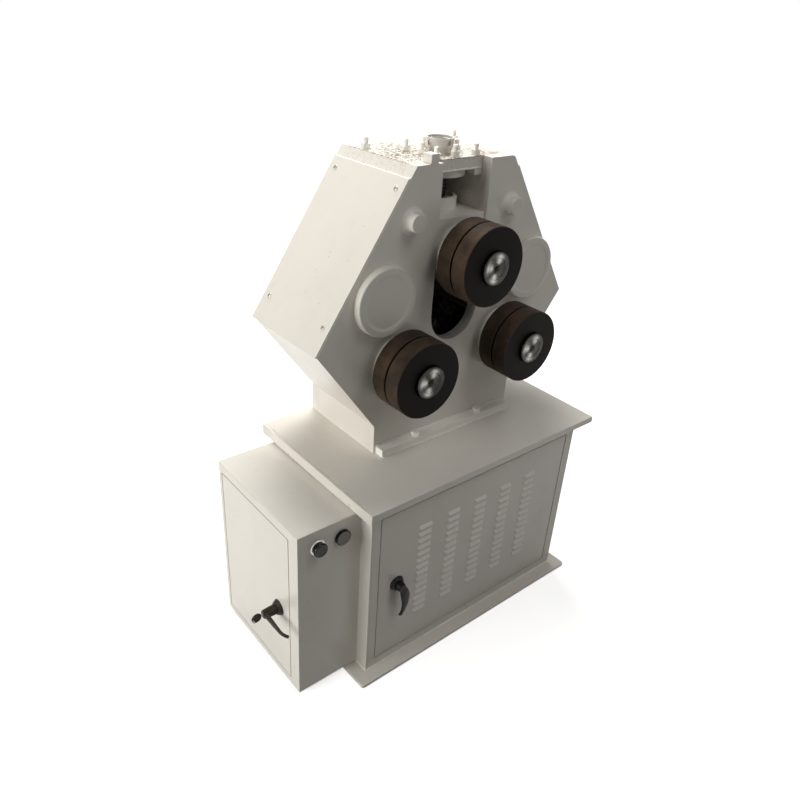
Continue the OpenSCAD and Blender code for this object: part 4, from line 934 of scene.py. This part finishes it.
SLOT_HALF, PLATE_T, ROOF_T = 75, 30, 28
stop_low, stop_high = box_mm("stop_block")
left, right, y, z = flange_low.x, flange_high.x, flange_low.y - 0.5, flange_low.z + 1
bead("flange_weld", (left + 2, y, z), (right - 2, y, z), 2.6)
y, z = FRONT - 1, flange_high.z + 1
bead("foot_weld", (left + 4, y, z), (right - 4, y, z), 3.0)
left, right, y, z = HC - SLOT_HALF + 2, HC + SLOT_HALF - 2, FRONT + PLATE_T, TOP - ROOF_T + 1
bead("roof_edge_weld", (left, y, z), (right, y, z), 2.4, 4)
x, y, z = stop_high.x + 0.5, stop_high.y + 0.5, TOP + 1
bead("stop_weld", (stop_low.x + 1, y, z), (stop_high.x, y, z), 2.6)
bead("stop_side_weld", (x, stop_low.y + 2, z), (x, stop_high.y, z), 2.4)
left, right, near, far = cabinet_low.x, cabinet_high.x, cabinet_low.y, cabinet_high.y
z = cabinet_low.z + 0.6
bead("cabinet_front_weld", (left + 1, near, z), (right - 1, near, z), 2.6, 9)
bead("cabinet_left_weld", (left, near, z), (left, far, z), 2.6, 9)
bead("cabinet_right_weld", (right, near, z), (right, far, z), 2.6, 9)

# Press


def wound_ridge(name, inner, outer, pitch, low, turns, centre):
    """The ridge of a screw's thread, its section wound up round the axis."""
    bpy.ops.mesh.primitive_plane_add(size=1)
    ridge = named(name)
    ridge.rotation_euler = (math.pi / 2, 0, 0)
    ridge.scale = mm(outer - inner, pitch * 0.36, 1)
    ridge.location = mm((inner + outer) / 2, 0, low + pitch / 4)
    settle(ridge)
    open_mesh(ridge, "VERT")
    pick(ridge, "VERT", lambda v: v.co.x < (inner + 0.5) * MM)
    bpy.ops.transform.resize(value=(1, 1, 1.9), center_override=mm(inner, 0, low + pitch / 4))
    bpy.ops.mesh.select_all(action="SELECT")
    bpy.ops.mesh.delete(type="ONLY_FACE")
    close_mesh()
    modify(ridge, "SCREW", axis="Z", angle=2 * math.pi, screw_offset=pitch * MM, iterations=turns,
           steps=28, render_steps=28)
    open_mesh(ridge)
    bpy.ops.mesh.select_all(action="SELECT")
    bpy.ops.mesh.fill_holes(sides=0)
    close_mesh()
    outward(ridge)
    smooth(ridge, math.radians(40))
    return place(ridge, centre)


SCREW_R, LEAD, TURNS = 22, 8, 15
low, high = box_mm("press_screw")
screw_at = (HC, screw_y, 0)
core = turned("press_screw_core", [(18.4, low.z), (18.4, high.z - 9), (18.4, high.z - 2.5),
                                   (16, high.z - 0.4), (14, high.z)], screw_at, sides=56)
ridge = wound_ridge("press_screw_thread", SCREW_R - 4, SCREW_R, LEAD, block_high.z + 18, TURNS,
                    screw_at)
for piece in (core, ridge):
    wear(piece, dark_steel, "slide", "press_screw")
collar = turned("press_screw_collar", [(radius, block_high.z + height) for radius, height in (
    (SCREW_R, 0), (49, 0), (50, 1), (50, 27.4), (49.5, 28.5), (48.4, 29), (41, 29), (40, 28),
    (40, 21), (24, 21), (SCREW_R, 21), (SCREW_R, 0))], screw_at, sides=96, hollow=True)
wear(collar, ivory_slot, "slide", "press_screw")

# Cabinet door and its louvres

door_low, door_high = box_mm("cabinet_door")
DOOR_T, LOUVRE_W, LOUVRE_H, LOUVRE_DROP, LOUVRE_OUT = 2.5, 41, 10, 4, 5.5
LOUVRE_DX, LOUVRE_DZ, LOUVRE_LOW, COLUMNS, ROWS = 94, 21, 96, 5, 14
HANDLE_HOLE_R = 11.2
door_front = cabinet_low.y
louvre_spots = [((column * LOUVRE_DX, door_front, door_low.z + LOUVRE_LOW + row * LOUVRE_DZ),
                 "+Z") for column in range(-(COLUMNS // 2), COLUMNS // 2 + 1)
                for row in range(ROWS)]


def louvre(name):
    """A pressed louvre: a hood that is open below."""
    hood = slab(name, (-LOUVRE_W / 2, -LOUVRE_OUT, -LOUVRE_DROP),
                (LOUVRE_W / 2, 0.3, LOUVRE_H - LOUVRE_DROP))
    open_mesh(hood)
    pick(hood, "FACE", lambda f: f.normal.y < -FLAT)
    bpy.ops.transform.resize(value=(0.88, 1, 0.22),
                             center_override=mm(0, -LOUVRE_OUT, -LOUVRE_DROP))
    pick(hood, "FACE", lambda f: f.normal.z < -FLAT or f.normal.y > FLAT)
    bpy.ops.mesh.delete(type="FACE")
    bpy.ops.mesh.select_mode(type="EDGE")
    pick(hood, "EDGE", lambda e: len(e.link_faces) == 2)
    bpy.ops.mesh.bevel(offset=1.4 * MM, segments=2, affect="EDGES")
    close_mesh()
    modify(hood, "SOLIDIFY", thickness=0.9 * MM, offset=-1)
    return smooth(outward(hood), math.radians(50))


def folded_door(name, low, high, thick):
    """A sheet door with its edges folded back."""
    door = slab(name, low, high)
    open_mesh(door)
    pick(door, "FACE", lambda f: f.normal.y > FLAT)
    bpy.ops.mesh.delete(type="FACE")
    bpy.ops.mesh.select_mode(type="EDGE")
    pick(door, "EDGE", lambda e: len(e.link_faces) == 2)
    bpy.ops.mesh.bevel(offset=1.6 * MM, segments=3, affect="EDGES")
    close_mesh()
    modify(door, "SOLIDIFY", thickness=thick * MM, offset=-1)
    return outward(door)


door = folded_door("cabinet_door_sheet", (door_low.x, door_front, door_low.z), door_high, DOOR_T)
slot_half = LOUVRE_W / 2 - 4
slots = [slab("slot", (x - slot_half, y - 2, z - 3), (x + slot_half, y + 5, z))
         for (x, y, z), _ in louvre_spots]
slots.append(turned("handle_hole", [(HANDLE_HOLE_R, -6), (HANDLE_HOLE_R, 6)],
                    (HANDLE_X, door_front, HANDLE_Z), "-Y", 32))
smooth(cut(door, *slots))
wear(door, ivory_door, "cabinet_door_body", "cabinet_door")
hoods = joined("cabinet_door_louvres", set_out(louvre("louvre"), "louvre", louvre_spots))
# the louvre hoods take the lighter copy of the enamel, as painted light
wear(hoods, ivory_painted_light, "cabinet_door_body", "cabinet_door")

# Handles and key


def handle_hub(name, centre, facing, out, slit):
    """A handle's spindle with its hub, and a key bore or a slit in the hub's end."""
    hub = turned(f"{name}_hub", [
        (8, -25), (8, 10.4), (11.6, 10.4), (13, 11.6), (12.6, 16), (11.7, out - 7),
        (11.2, out - 2.4), (10.2, out - 0.7), (8.6, out), (7, out), (6.5, out - 0.6),
        (3.6, out - 0.6)], sides=48)
    bore = (slab("slit", (-0.7, -3.2, out - 5), (0.7, 3.2, out + 1)) if slit
            else turned("bore", [(3.2, out - 14), (3.2, out + 1)], sides=20))
    return place(smooth(cut(hub, bore)), centre, facing)


def handle(name, material, hub, path_at, half_widths, half_heights, up, edge, cam_low, cam_high):
    """A handle: its hub, the lever along a path given by the share of its length, and its cam."""
    last = len(half_widths) - 1
    path = [path_at(i / last) for i in range(last + 1)]
    lever = pipe(name + "_lever", path, half_widths, half_heights, sides=20, up=up)
    ease(lever, edge)
    cam = ease(slab(name + "_cam", cam_low, (*cam_high, box_mm(name)[1].z)), 0.8)
    for piece in (hub, lever, cam):
        wear(piece, material, name + "_body", name)


LEVER_BOW, LEVER_HALF, CAM_HALF, CAM_NEAR, CAM_FAR = 72, 44, 9, 21, 25
bow_turn = math.asin(LEVER_HALF / LEVER_BOW)
chord = math.sqrt(LEVER_BOW ** 2 - LEVER_HALF ** 2)


def cabinet_lever_at(share):
    """A point on the cabinet's lever, which hangs down and bows to the right."""
    a = bow_turn * (1 - 2 * share)
    return (HANDLE_X - chord + LEVER_BOW * math.cos(a) - 3 * math.sin(math.pi * share),
            door_front - 21.5 - 2.6 * math.sin(3 * share),
            HANDLE_Z - LEVER_HALF + LEVER_BOW * math.sin(a) - 4 * share)


def box_lever_at(share):
    """A point on the box's lever, which runs forward and curls in at its end."""
    curl = max(0, share - 0.76) / 0.24
    return (box_low.x - 37.5 - 2.4 * math.sin(math.pi * share) + 8.5 * curl ** 1.6,
            KNOB_Y - 94 * share + 2.5 * curl ** 2,
            KNOB_Z - 3.4 * share + 4.5 * math.sin(math.pi * share))


handle("cabinet_handle", handle_metal,
       handle_hub("cabinet_handle", (HANDLE_X, door_front, HANDLE_Z), "-Y", 26, True),
       cabinet_lever_at,
       [8.6, 10.4, 12.2, 13.4, 13.6, 13.0, 12.0, 10.7, 9.3, 8.0, 6.9, 6.2, 6.8],
       [3.6, 4.6, 5, 5.2, 5.1, 4.8, 4.5, 4.2, 3.9, 3.6, 3.3, 3.1, 2.6], (0, -1, 0), 0.8,
       (HANDLE_X - CAM_HALF, door_front + CAM_NEAR, HANDLE_Z - CAM_HALF),
       (HANDLE_X + CAM_HALF, door_front + CAM_FAR))
handle("box_handle", box_handle_metal,
       handle_hub("box_handle", (box_low.x, KNOB_Y, KNOB_Z), "-X", KNOB_OUT, False),
       box_lever_at,
       [8.6, 8.8, 8.4, 8.0, 7.5, 7.0, 6.5, 6.0, 5.5, 5.1, 4.9, 5.0, 5.2],
       [4.8, 5.2, 5.2, 5.1, 5.0, 4.8, 4.6, 4.3, 4.0, 3.8, 3.7, 3.5, 3.2], (-1, 0, 0), 0.7,
       (box_low.x + CAM_NEAR, KNOB_Y - CAM_HALF, KNOB_Z - CAM_HALF),
       (box_low.x + CAM_FAR, KNOB_Y + CAM_HALF))

key_end = box_low.x - KNOB_OUT
head = turned("box_key_head", [(9.6, -2.4), (11.6, -2.1), (12.7, -1.1), (13, 0), (12.7, 1.1),
                               (11.6, 2.1), (9.6, 2.4)], sides=48)
cut(head, turned("key_hole", [(2.4, -4), (2.4, 4)], (0, 8, 0), sides=20))
for height in (2.4, -2.4):
    cut(head, turned("dish", [(7.4, height - 0.6), (7.4, height + 0.6)], (0, -1.5, 0), sides=40))
shift(smooth(head), (key_end - 17, KNOB_Y, KNOB_Z), (math.pi / 2, -math.pi / 2, 0))
shank = turned("box_key_shank", [(2.2, -13.4), (3, -12.4), (3, 5.4), (2.2, 6.4)],
               (key_end, KNOB_Y, KNOB_Z), "-X", 24)
bpy.ops.mesh.primitive_torus_add(major_radius=6.3 * MM, minor_radius=0.7 * MM, major_segments=40,
                                 minor_segments=8)
ring = named("box_key_ring")
coil = shift(copy_of(ring, "box_key_ring_coil"), (0, 0, 1.3))
ring = joined("box_key_ring", [ring, coil])
shift(ring, (key_end - 26.2, KNOB_Y + 1.6, KNOB_Z - 5.9), (0, math.radians(78), 0))
for piece, material in ((head, box_handle_metal), (shank, key_metal), (ring, key_metal)):
    wear(piece, material, "box_key_body", "box_key")

# Push buttons and cable gland

black_low, black_high = box_mm("black_button")
grey_low, grey_high = box_mm("grey_button")
black_x, grey_x = middle_mm("black_button").x, middle_mm("grey_button").x
button_z = middle_mm("black_button").z
long = black_high.y - black_low.y
knob = turned("black_button_knob", [
    (11, 0), (11, long - 9.1), (16.2, long - 9), (17.4, long - 8.5), (18, long - 7.2),
    (17.8, long - 4.4), (17.1, long - 2.2), (15.8, long - 0.8), (14, long - 0.1),
    (12.6, long - 0.3), (11.8, long - 0.9), (4, long - 1.1)], (black_x, black_high.y, button_z),
    "-Y", 72)
wear(knob, black, "black_button_body", "black_button")
long = grey_high.y - grey_low.y
cap = turned("grey_button_cap", [
    (11, 0), (11, long - 3), (17.2, long - 3), (17.9, long - 2.4), (17.9, long - 0.9),
    (17.5, long - 0.2), (16.6, long), (15, long), (14.2, long - 0.35), (4, long - 0.5)],
    (grey_x, grey_high.y, button_z), "-Y", 72)
wear(cap, grey, "grey_button_body", "grey_button")
ring = turned("black_button_ring", [
    (11.5, -2.4), (14.4, -2.4), (14.4, 0), (20, 0), (20, 0.9), (19.4, 1.9), (18, 2.7), (16.6, 3),
    (12, 3), (11.5, 2.6), (11.5, -2.4)], (black_x, box_low.y, button_z), "-Y", 72, True)
wear(ring, ring_metal, "machine", "button_bezels")
ring = turned("grey_button_ring", [
    (11.5, -2.4), (14.4, -2.4), (14.4, 0), (20, 0), (20, 6.6), (19.8, 7.6), (19.4, 8), (18.6, 8),
    (18.3, 7.6), (18.3, 2), (11.5, 2), (11.5, -2.4)], (grey_x, box_low.y, button_z), "-Y", 72, True)
wear(ring, black, "machine", "button_bezels")

GLAND_BORE, GLAND_STEM, GLAND_IN, GLAND_HEX = 8.5, 12.4, 8.5, 31
gland_at = (middle_mm("cable_gland").x, box_high.y, middle_mm("cable_gland").z)
out = box_mm("cable_gland")[1].y - box_high.y
dome = turned("cable_gland_dome", [
    (GLAND_BORE, -GLAND_IN), (GLAND_STEM, -GLAND_IN), (GLAND_STEM, 0), (13.6, 0.2), (13.6, 12),
    (14, 12.3), (14, out - 8), (13.2, out - 4), (11.4, out - 1), (9.6, out),
    (GLAND_BORE, out - 0.6), (GLAND_BORE, -GLAND_IN)], gland_at, "+Y", 64, True)
outer = hexagon("cable_gland_body", GLAND_HEX, 0.3, 12, gland_at, "+Y")
inner = hexagon("cable_gland_nut", GLAND_HEX, 2.8, 7.5, gland_at, "-Y")
bore_r = GLAND_STEM + 0.2
for piece in (outer, inner):
    cut(piece, turned("bore", [(bore_r, -12), (bore_r, 14)], gland_at, "+Y", 48))
    smooth(piece)
for piece in (dome, outer, inner):
    wear(piece, black_matt, "machine", "cable_gland")

# Chain

PITCH, LINKS, HEAD_TEETH, CABINET_TEETH = 25.4, 56, 25, 19
chain_y = box_mm("head_sprocket")[1].y - 7.5
wheels = [(PITCH / 2 / math.sin(math.pi / teeth), middle_mm(node).z) for node, teeth in (
    ("head_sprocket", HEAD_TEETH), ("cabinet_sprocket", CABINET_TEETH))]
(upper_r, upper_z), (lower_r, lower_z) = wheels
apart = upper_z - lower_z
lean = math.asin((upper_r - lower_r) / apart)
straight = math.sqrt(apart ** 2 - (upper_r - lower_r) ** 2)
runs = (upper_r * (math.pi + 2 * lean), straight, lower_r * (math.pi - 2 * lean), straight)


def on_wheel(wheel, angle):
    """A point on a wheel's pitch circle."""
    r, z = wheel
    return HC + r * math.cos(angle), z + r * math.sin(angle)


def on_chain(travel):
    """A point on the chain, a length along it from where it meets the upper wheel's right."""
    upper, lower = wheels
    right, left = -lean, math.pi + lean
    travel %= sum(runs)
    if travel < runs[0]:
        return on_wheel(upper, right + travel / upper_r)
    travel -= runs[0]
    if travel < runs[1]:
        share = travel / runs[1]
        ends = on_wheel(upper, left), on_wheel(lower, left)
    else:
        travel -= runs[1]
        if travel < runs[2]:
            return on_wheel(lower, left + travel / lower_r)
        share = (travel - runs[2]) / runs[3]
        ends = on_wheel(lower, right), on_wheel(upper, right)
    return tuple(a + (b - a) * share for a, b in zip(*ends))


def chain_link(name, inside, outside):
    """A link: two waisted plates, and the roller with its pin at the first end."""
    bpy.ops.mesh.primitive_circle_add(vertices=16, radius=11.4 * MM, fill_type="NGON")
    plate = shift(named(name), (0, 0, 0), (math.pi / 2, 0, 0))
    open_mesh(plate, "VERT")
    pick(plate, "VERT", lambda v: v.co.x > 0.001)
    bpy.ops.transform.translate(value=mm(PITCH, 0, 0))
    bpy.ops.mesh.select_all(action="DESELECT")
    bpy.ops.mesh.select_mode(type="EDGE")
    pick(plate, "EDGE", lambda e: e.calc_length() > 18 * MM)
    bpy.ops.mesh.subdivide(number_cuts=3)
    bpy.ops.mesh.select_mode(type="VERT")
    pick(plate, "VERT", lambda v: abs(v.co.x - PITCH / 2 * MM) < 6 * MM)
    bpy.ops.transform.resize(value=(1, 1, 0.8), center_override=mm(PITCH / 2, 0, 0))
    close_mesh()
    modify(plate, "SOLIDIFY", thickness=(outside - inside) * MM, offset=0)
    outward(plate)
    far = copy_of(plate, name + "_far")
    middle_y = (inside + outside) / 2
    shift(plate, (0, -middle_y, 0))
    shift(far, (0, middle_y, 0))
    barrel = turned(name + "_roller", [(7.7, -7.2), (7.7, 7.2)], (0, 0, 0), "-Y", 16)
    pin = turned(name + "_pin", [(3.4, -13.2), (4, -12.6), (4, 12.6), (3.4, 13.2)], (0, 0, 0), "-Y",
                 12)
    return joined(name, [plate, far, barrel, pin])


inner_link, outer_link = chain_link("inner_link", 7.4, 9.8), chain_link("outer_link", 10, 12.2)
links = []
for i in range(LINKS):
    x, z = on_chain(sum(runs) * i / LINKS)
    ahead_x, ahead_z = on_chain(sum(runs) * (i + 1) / LINKS)
    piece = copy_of(outer_link if i % 2 else inner_link, "link")
    links.append(shift(piece, (x, chain_y, z), (0, -math.atan2(ahead_z - z, ahead_x - x), 0)))
for piece in (inner_link, outer_link):
    bpy.data.objects.remove(piece)
chain = smooth(joined("drive_chain_links", links))
wear(chain, chain_steel, "machine", "drive_chain")

# Gearbox, motor and switchgear

MOTOR_FINS = 32
motor_low, motor_high = box_mm("drive_motor")
motor_y, motor_z = 70, 180
motor_long = motor_high.x - motor_low.x
barrel = turned("drive_motor_barrel", [
    (75, 0), (78, 1.5), (78, 10.5), (76.6, 12), (64, 12), (63, 14), (63, motor_long - 50),
    (68.4, motor_long - 49.4), (70, motor_long - 47), (70, motor_long - 14),
    (68.4, motor_long - 6), (63, motor_long - 1), (56, motor_long), (50, motor_long),
    (49, motor_long - 2), (18, motor_long - 2), (16, motor_long), (8, motor_long)],
    (motor_high.x, motor_y, motor_z), "-X", 72)
fin = ease(slab("fin", (motor_high.x - motor_long + 52, motor_y - 1, motor_z + 61.5),
                (motor_high.x - 14, motor_y + 1, motor_z + 69.6)), 0.5, 1)
fins = []
for k in range(MOTOR_FINS):
    fins.append(spin_about(copy_of(fin, "fin_copy"), (1, 0, 0),
                           2 * math.pi * (k + 0.5) / MOTOR_FINS, mm(0, motor_y, motor_z)))
bpy.data.objects.remove(fin)
fins = joined("drive_motor_fins", fins)
middle_x = motor_high.x - 105
foot_x = motor_high.x - 120
junction = ease(slab("drive_motor_box", (middle_x - 42, motor_y - 42, motor_z + 52),
                     (middle_x + 42, motor_y + 42, motor_high.z - 8)), 4, 3)
lid = ease(slab("drive_motor_box_lid", (middle_x - 45, motor_y - 45, motor_high.z - 8.2),
                (middle_x + 45, motor_y + 45, motor_high.z)), 2.4, 3)
foot = ease(slab("drive_motor_foot", (foot_x - 60, motor_y - 60, motor_low.z),
                 (foot_x + 60, motor_y + 60, motor_low.z + 12)), 2)
ribs = [ease(slab("foot_rib", (foot_x - 46, y, motor_low.z + 10),
                  (foot_x + 46, y + 12, motor_z - 44)), 2) for y in (motor_y - 48, motor_y + 36)]
foot = joined("drive_motor_foot", [foot] + ribs)
lid_screws = joined("drive_motor_lid_screws", set_out(pan_screw("lid_screw"), "lid_screw", [
    ((middle_x + sx * 38, motor_y + sy * 38, motor_high.z - 2.3), "+Z")
    for sx in (-1, 1) for sy in (-1, 1)]))
for piece in (barrel, fins, junction, lid, foot):
    wear(piece, unit_blue, "machine", "drive_motor")
wear(lid_screws, bolt_steel, "machine", "drive_motor")


def unit(name, low, high, steps_in):
    """A switch unit: a moulded body whose front steps in, facing the box's door."""
    low, high = Vector(low), Vector(high)
    body = slab(name, low, high)
    open_mesh(body)
    pick(body, "FACE", lambda f: f.normal.x < -FLAT)
    for inset, depth in steps_in:
        bpy.ops.mesh.inset(thickness=inset * MM, depth=0)
        bpy.ops.mesh.extrude_region_move(TRANSFORM_OT_translate={"value": mm(depth, 0, 0)})
    close_mesh()
    return ease(outward(body), 0.9)


UNIT_OUT, UNIT_W, UNIT_APART = 72, 45, 60
CONTACTOR_Z, RELAY_Z, STRIP_Z = (310, 390), (225, 295), (100, 135)
STRIP_OUT, STRIP_W, BLOCK_HALF, BLOCK_DEEP = 40, 170, 20, 37.5
mount_low = box_mm("mounting_plate")[0]
face_x, unit_y = mount_low.x, mount_low.y + 25
units, terminals = [], []
for i in range(2):
    y = unit_y + i * UNIT_APART
    foot_z, head_z = CONTACTOR_Z
    units.append(unit(f"contactor_{i + 1}", (face_x - UNIT_OUT, y, foot_z),
                      (face_x, y + UNIT_W, head_z), ((7, 12), (6, -8))))
    terminals += [((face_x - UNIT_OUT + 10, y + 8 + 14.5 * k, z), "-X") for k in range(3)
                  for z in (foot_z + 6, head_z - 6)]
foot_z, head_z = RELAY_Z
units.append(unit("overload_relay", (face_x - UNIT_OUT, unit_y, foot_z),
                  (face_x, unit_y + UNIT_W, head_z), ((8, 10), (5, -6))))
foot_z, head_z = STRIP_Z
units.append(unit("terminal_strip", (face_x - STRIP_OUT, unit_y, foot_z),
                  (face_x, unit_y + STRIP_W, head_z), ((5, 8),)))
dial = turned("relay_dial", [(7, 60), (7, 70), (6.2, 71)],
              (face_x, unit_y + UNIT_W / 2, RELAY_Z[0] + 27), "-X", 32)
terminals += [((face_x - STRIP_OUT + 8, unit_y + 9 + 13.8 * k, z), "-X") for k in range(12)
              for z in (foot_z + 4, head_z - 4)]
for i, x in enumerate((black_x, grey_x)):
    block = slab(f"contact_block_{i + 1}", (x - BLOCK_HALF, box_low.y + 2.6, button_z - BLOCK_HALF),
                 (x + BLOCK_HALF, box_low.y + BLOCK_DEEP, button_z + BLOCK_HALF))
    cut(block, turned("pocket", [(16, -1), (16, 9.5)], (x, box_low.y + 2.5, button_z), "+Y", 48))
    units.append(ease(block, 0.9))
screws = joined("terminal_screws", set_out(turned("terminal", [(3, -1), (3, 1.4), (2.4, 2)],
                                                  sides=12), "terminal", terminals))
for piece in units:
    wear(piece, unit_grey, "machine", "switchgear")
wear(dial, black_matt, "machine", "switchgear")
wear(screws, bolt_steel, "machine", "switchgear")

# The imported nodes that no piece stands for
for node in frame["nodes"]:
    if not frame["nodes"][node].hide_render:
        refinish(node, ivory)

# Floor, light and camera

FLOOR_SIDE, FLOOR_GLOW, SKY_GLOW = 14, 0.66, 0.062
SUN, CLEAR = (1, 0.98, 0.94), (1, 0.99, 0.97)
# Each lamp's name, place, aim, side in metres, power in watts and colour
LAMPS = (("left_window", (-3.6, 0.5, 1.5), (0, 0, 0.7), 2.0, 86, SUN),
         ("rear_sky", (0.3, 0.9, 2.4), (0, 0, 1.0), 1.2, 44, SUN),
         ("front_fill", (0.9, -2.0, 1.7), (0, 0, 0.9), 1.2, 3.4, CLEAR),
         ("high_fill", (0.5, -1.3, 3.0), (0, 0, 0.7), 1.0, 9, CLEAR))
# The photograph's camera: its turns in degrees, its place in metres, its lens in millimetres
AZIMUTH, ELEVATION, ROLL = -41.01, 29.27, 3.72
CAMERA_AT, SENSOR, LENS = (-1.1698, -1.2208, 1.5382), 36, 32.68

bpy.ops.object.select_all(action="DESELECT")
bpy.ops.mesh.primitive_plane_add(size=1, location=(0, 0, 0))
floor = named("floor")
floor.scale = (FLOOR_SIDE, FLOOR_SIDE, 1)
settle(floor)


def floor_finish():
    """A pale floor that is seen nearly white, with the object's shadow on it."""
    it = Finish("studio_floor", Roughness=0.95)
    seen = it.seen_directly()
    grain = it.noise(30, 3, 0.5)
    pale = it.mix(grain.rise(0.3, 0.7) * 0.5, tone(250, 250, 250), tone(246, 246, 245))
    it.feed(Base_Color=it.mix(seen, tone(128, 126, 122), pale))
    x, y, _ = it.parts()
    far = ((x * x + y * y) ** 0.5).rise(0.9, 1.7)
    white = it.mix(far, (FLOOR_GLOW, FLOOR_GLOW, FLOOR_GLOW, 1), (1, 1, 1, 1))
    glow = it.node("ShaderNodeEmission", {}, {"Color": white, "Strength": 1.0})
    plain = Wire(it, it.shader.outputs[0])
    both = it.node("ShaderNodeAddShader", {}, {0: plain, 1: glow})
    it.show(it.node("ShaderNodeMixShader", {}, {0: seen, 1: plain, 2: both}), "Material Output")
    return it.material


floor.data.materials.append(floor_finish())

world = bpy.data.worlds.new("studio")
bpy.context.scene.world = world
world.use_nodes = True
world.node_tree.nodes.clear()
sky = Nodes(world.node_tree)
soft = sky.node("ShaderNodeBackground", {}, {"Color": (1.0, 0.985, 0.95, 1), "Strength": SKY_GLOW})
white = sky.node("ShaderNodeBackground", {}, {"Color": (1, 1, 1, 1), "Strength": 1.0})
world.node_tree.nodes.new("ShaderNodeOutputWorld")
sky.show(sky.node("ShaderNodeMixShader", {}, {0: sky.seen_directly(), 1: soft, 2: white}),
         "World Output")

for name, place_at, aim, side, power, colour in LAMPS:
    bpy.ops.object.light_add(type="AREA", location=place_at)
    lamp = bpy.context.view_layer.objects.active
    lamp.name = name
    lamp.data.size = side
    lamp.data.energy = power
    lamp.data.color = colour
    lamp.rotation_euler = (Vector(aim) - Vector(place_at)).to_track_quat("-Z", "Y").to_euler()

azimuth, elevation, roll = (math.radians(v) for v in (AZIMUTH, ELEVATION, ROLL))
back = Vector((math.sin(azimuth) * math.cos(elevation), -math.cos(azimuth) * math.cos(elevation),
               math.sin(elevation)))
level = (-back).cross(Vector((0, 0, 1))).normalized()
over = level.cross(-back)
across = math.cos(roll) * level + math.sin(roll) * over
upward = -math.sin(roll) * level + math.cos(roll) * over
bpy.ops.object.camera_add()
camera = bpy.context.view_layer.objects.active
camera.name = "camera"
camera.matrix_world = (Matrix.Translation(CAMERA_AT)
                       @ Matrix((across, upward, back)).transposed().to_4x4())
camera.data.sensor_width = SENSOR
camera.data.lens = LENS
camera.data.clip_start = 0.05
bpy.context.scene.camera = camera
bpy.context.scene.view_settings.view_transform = "Standard"
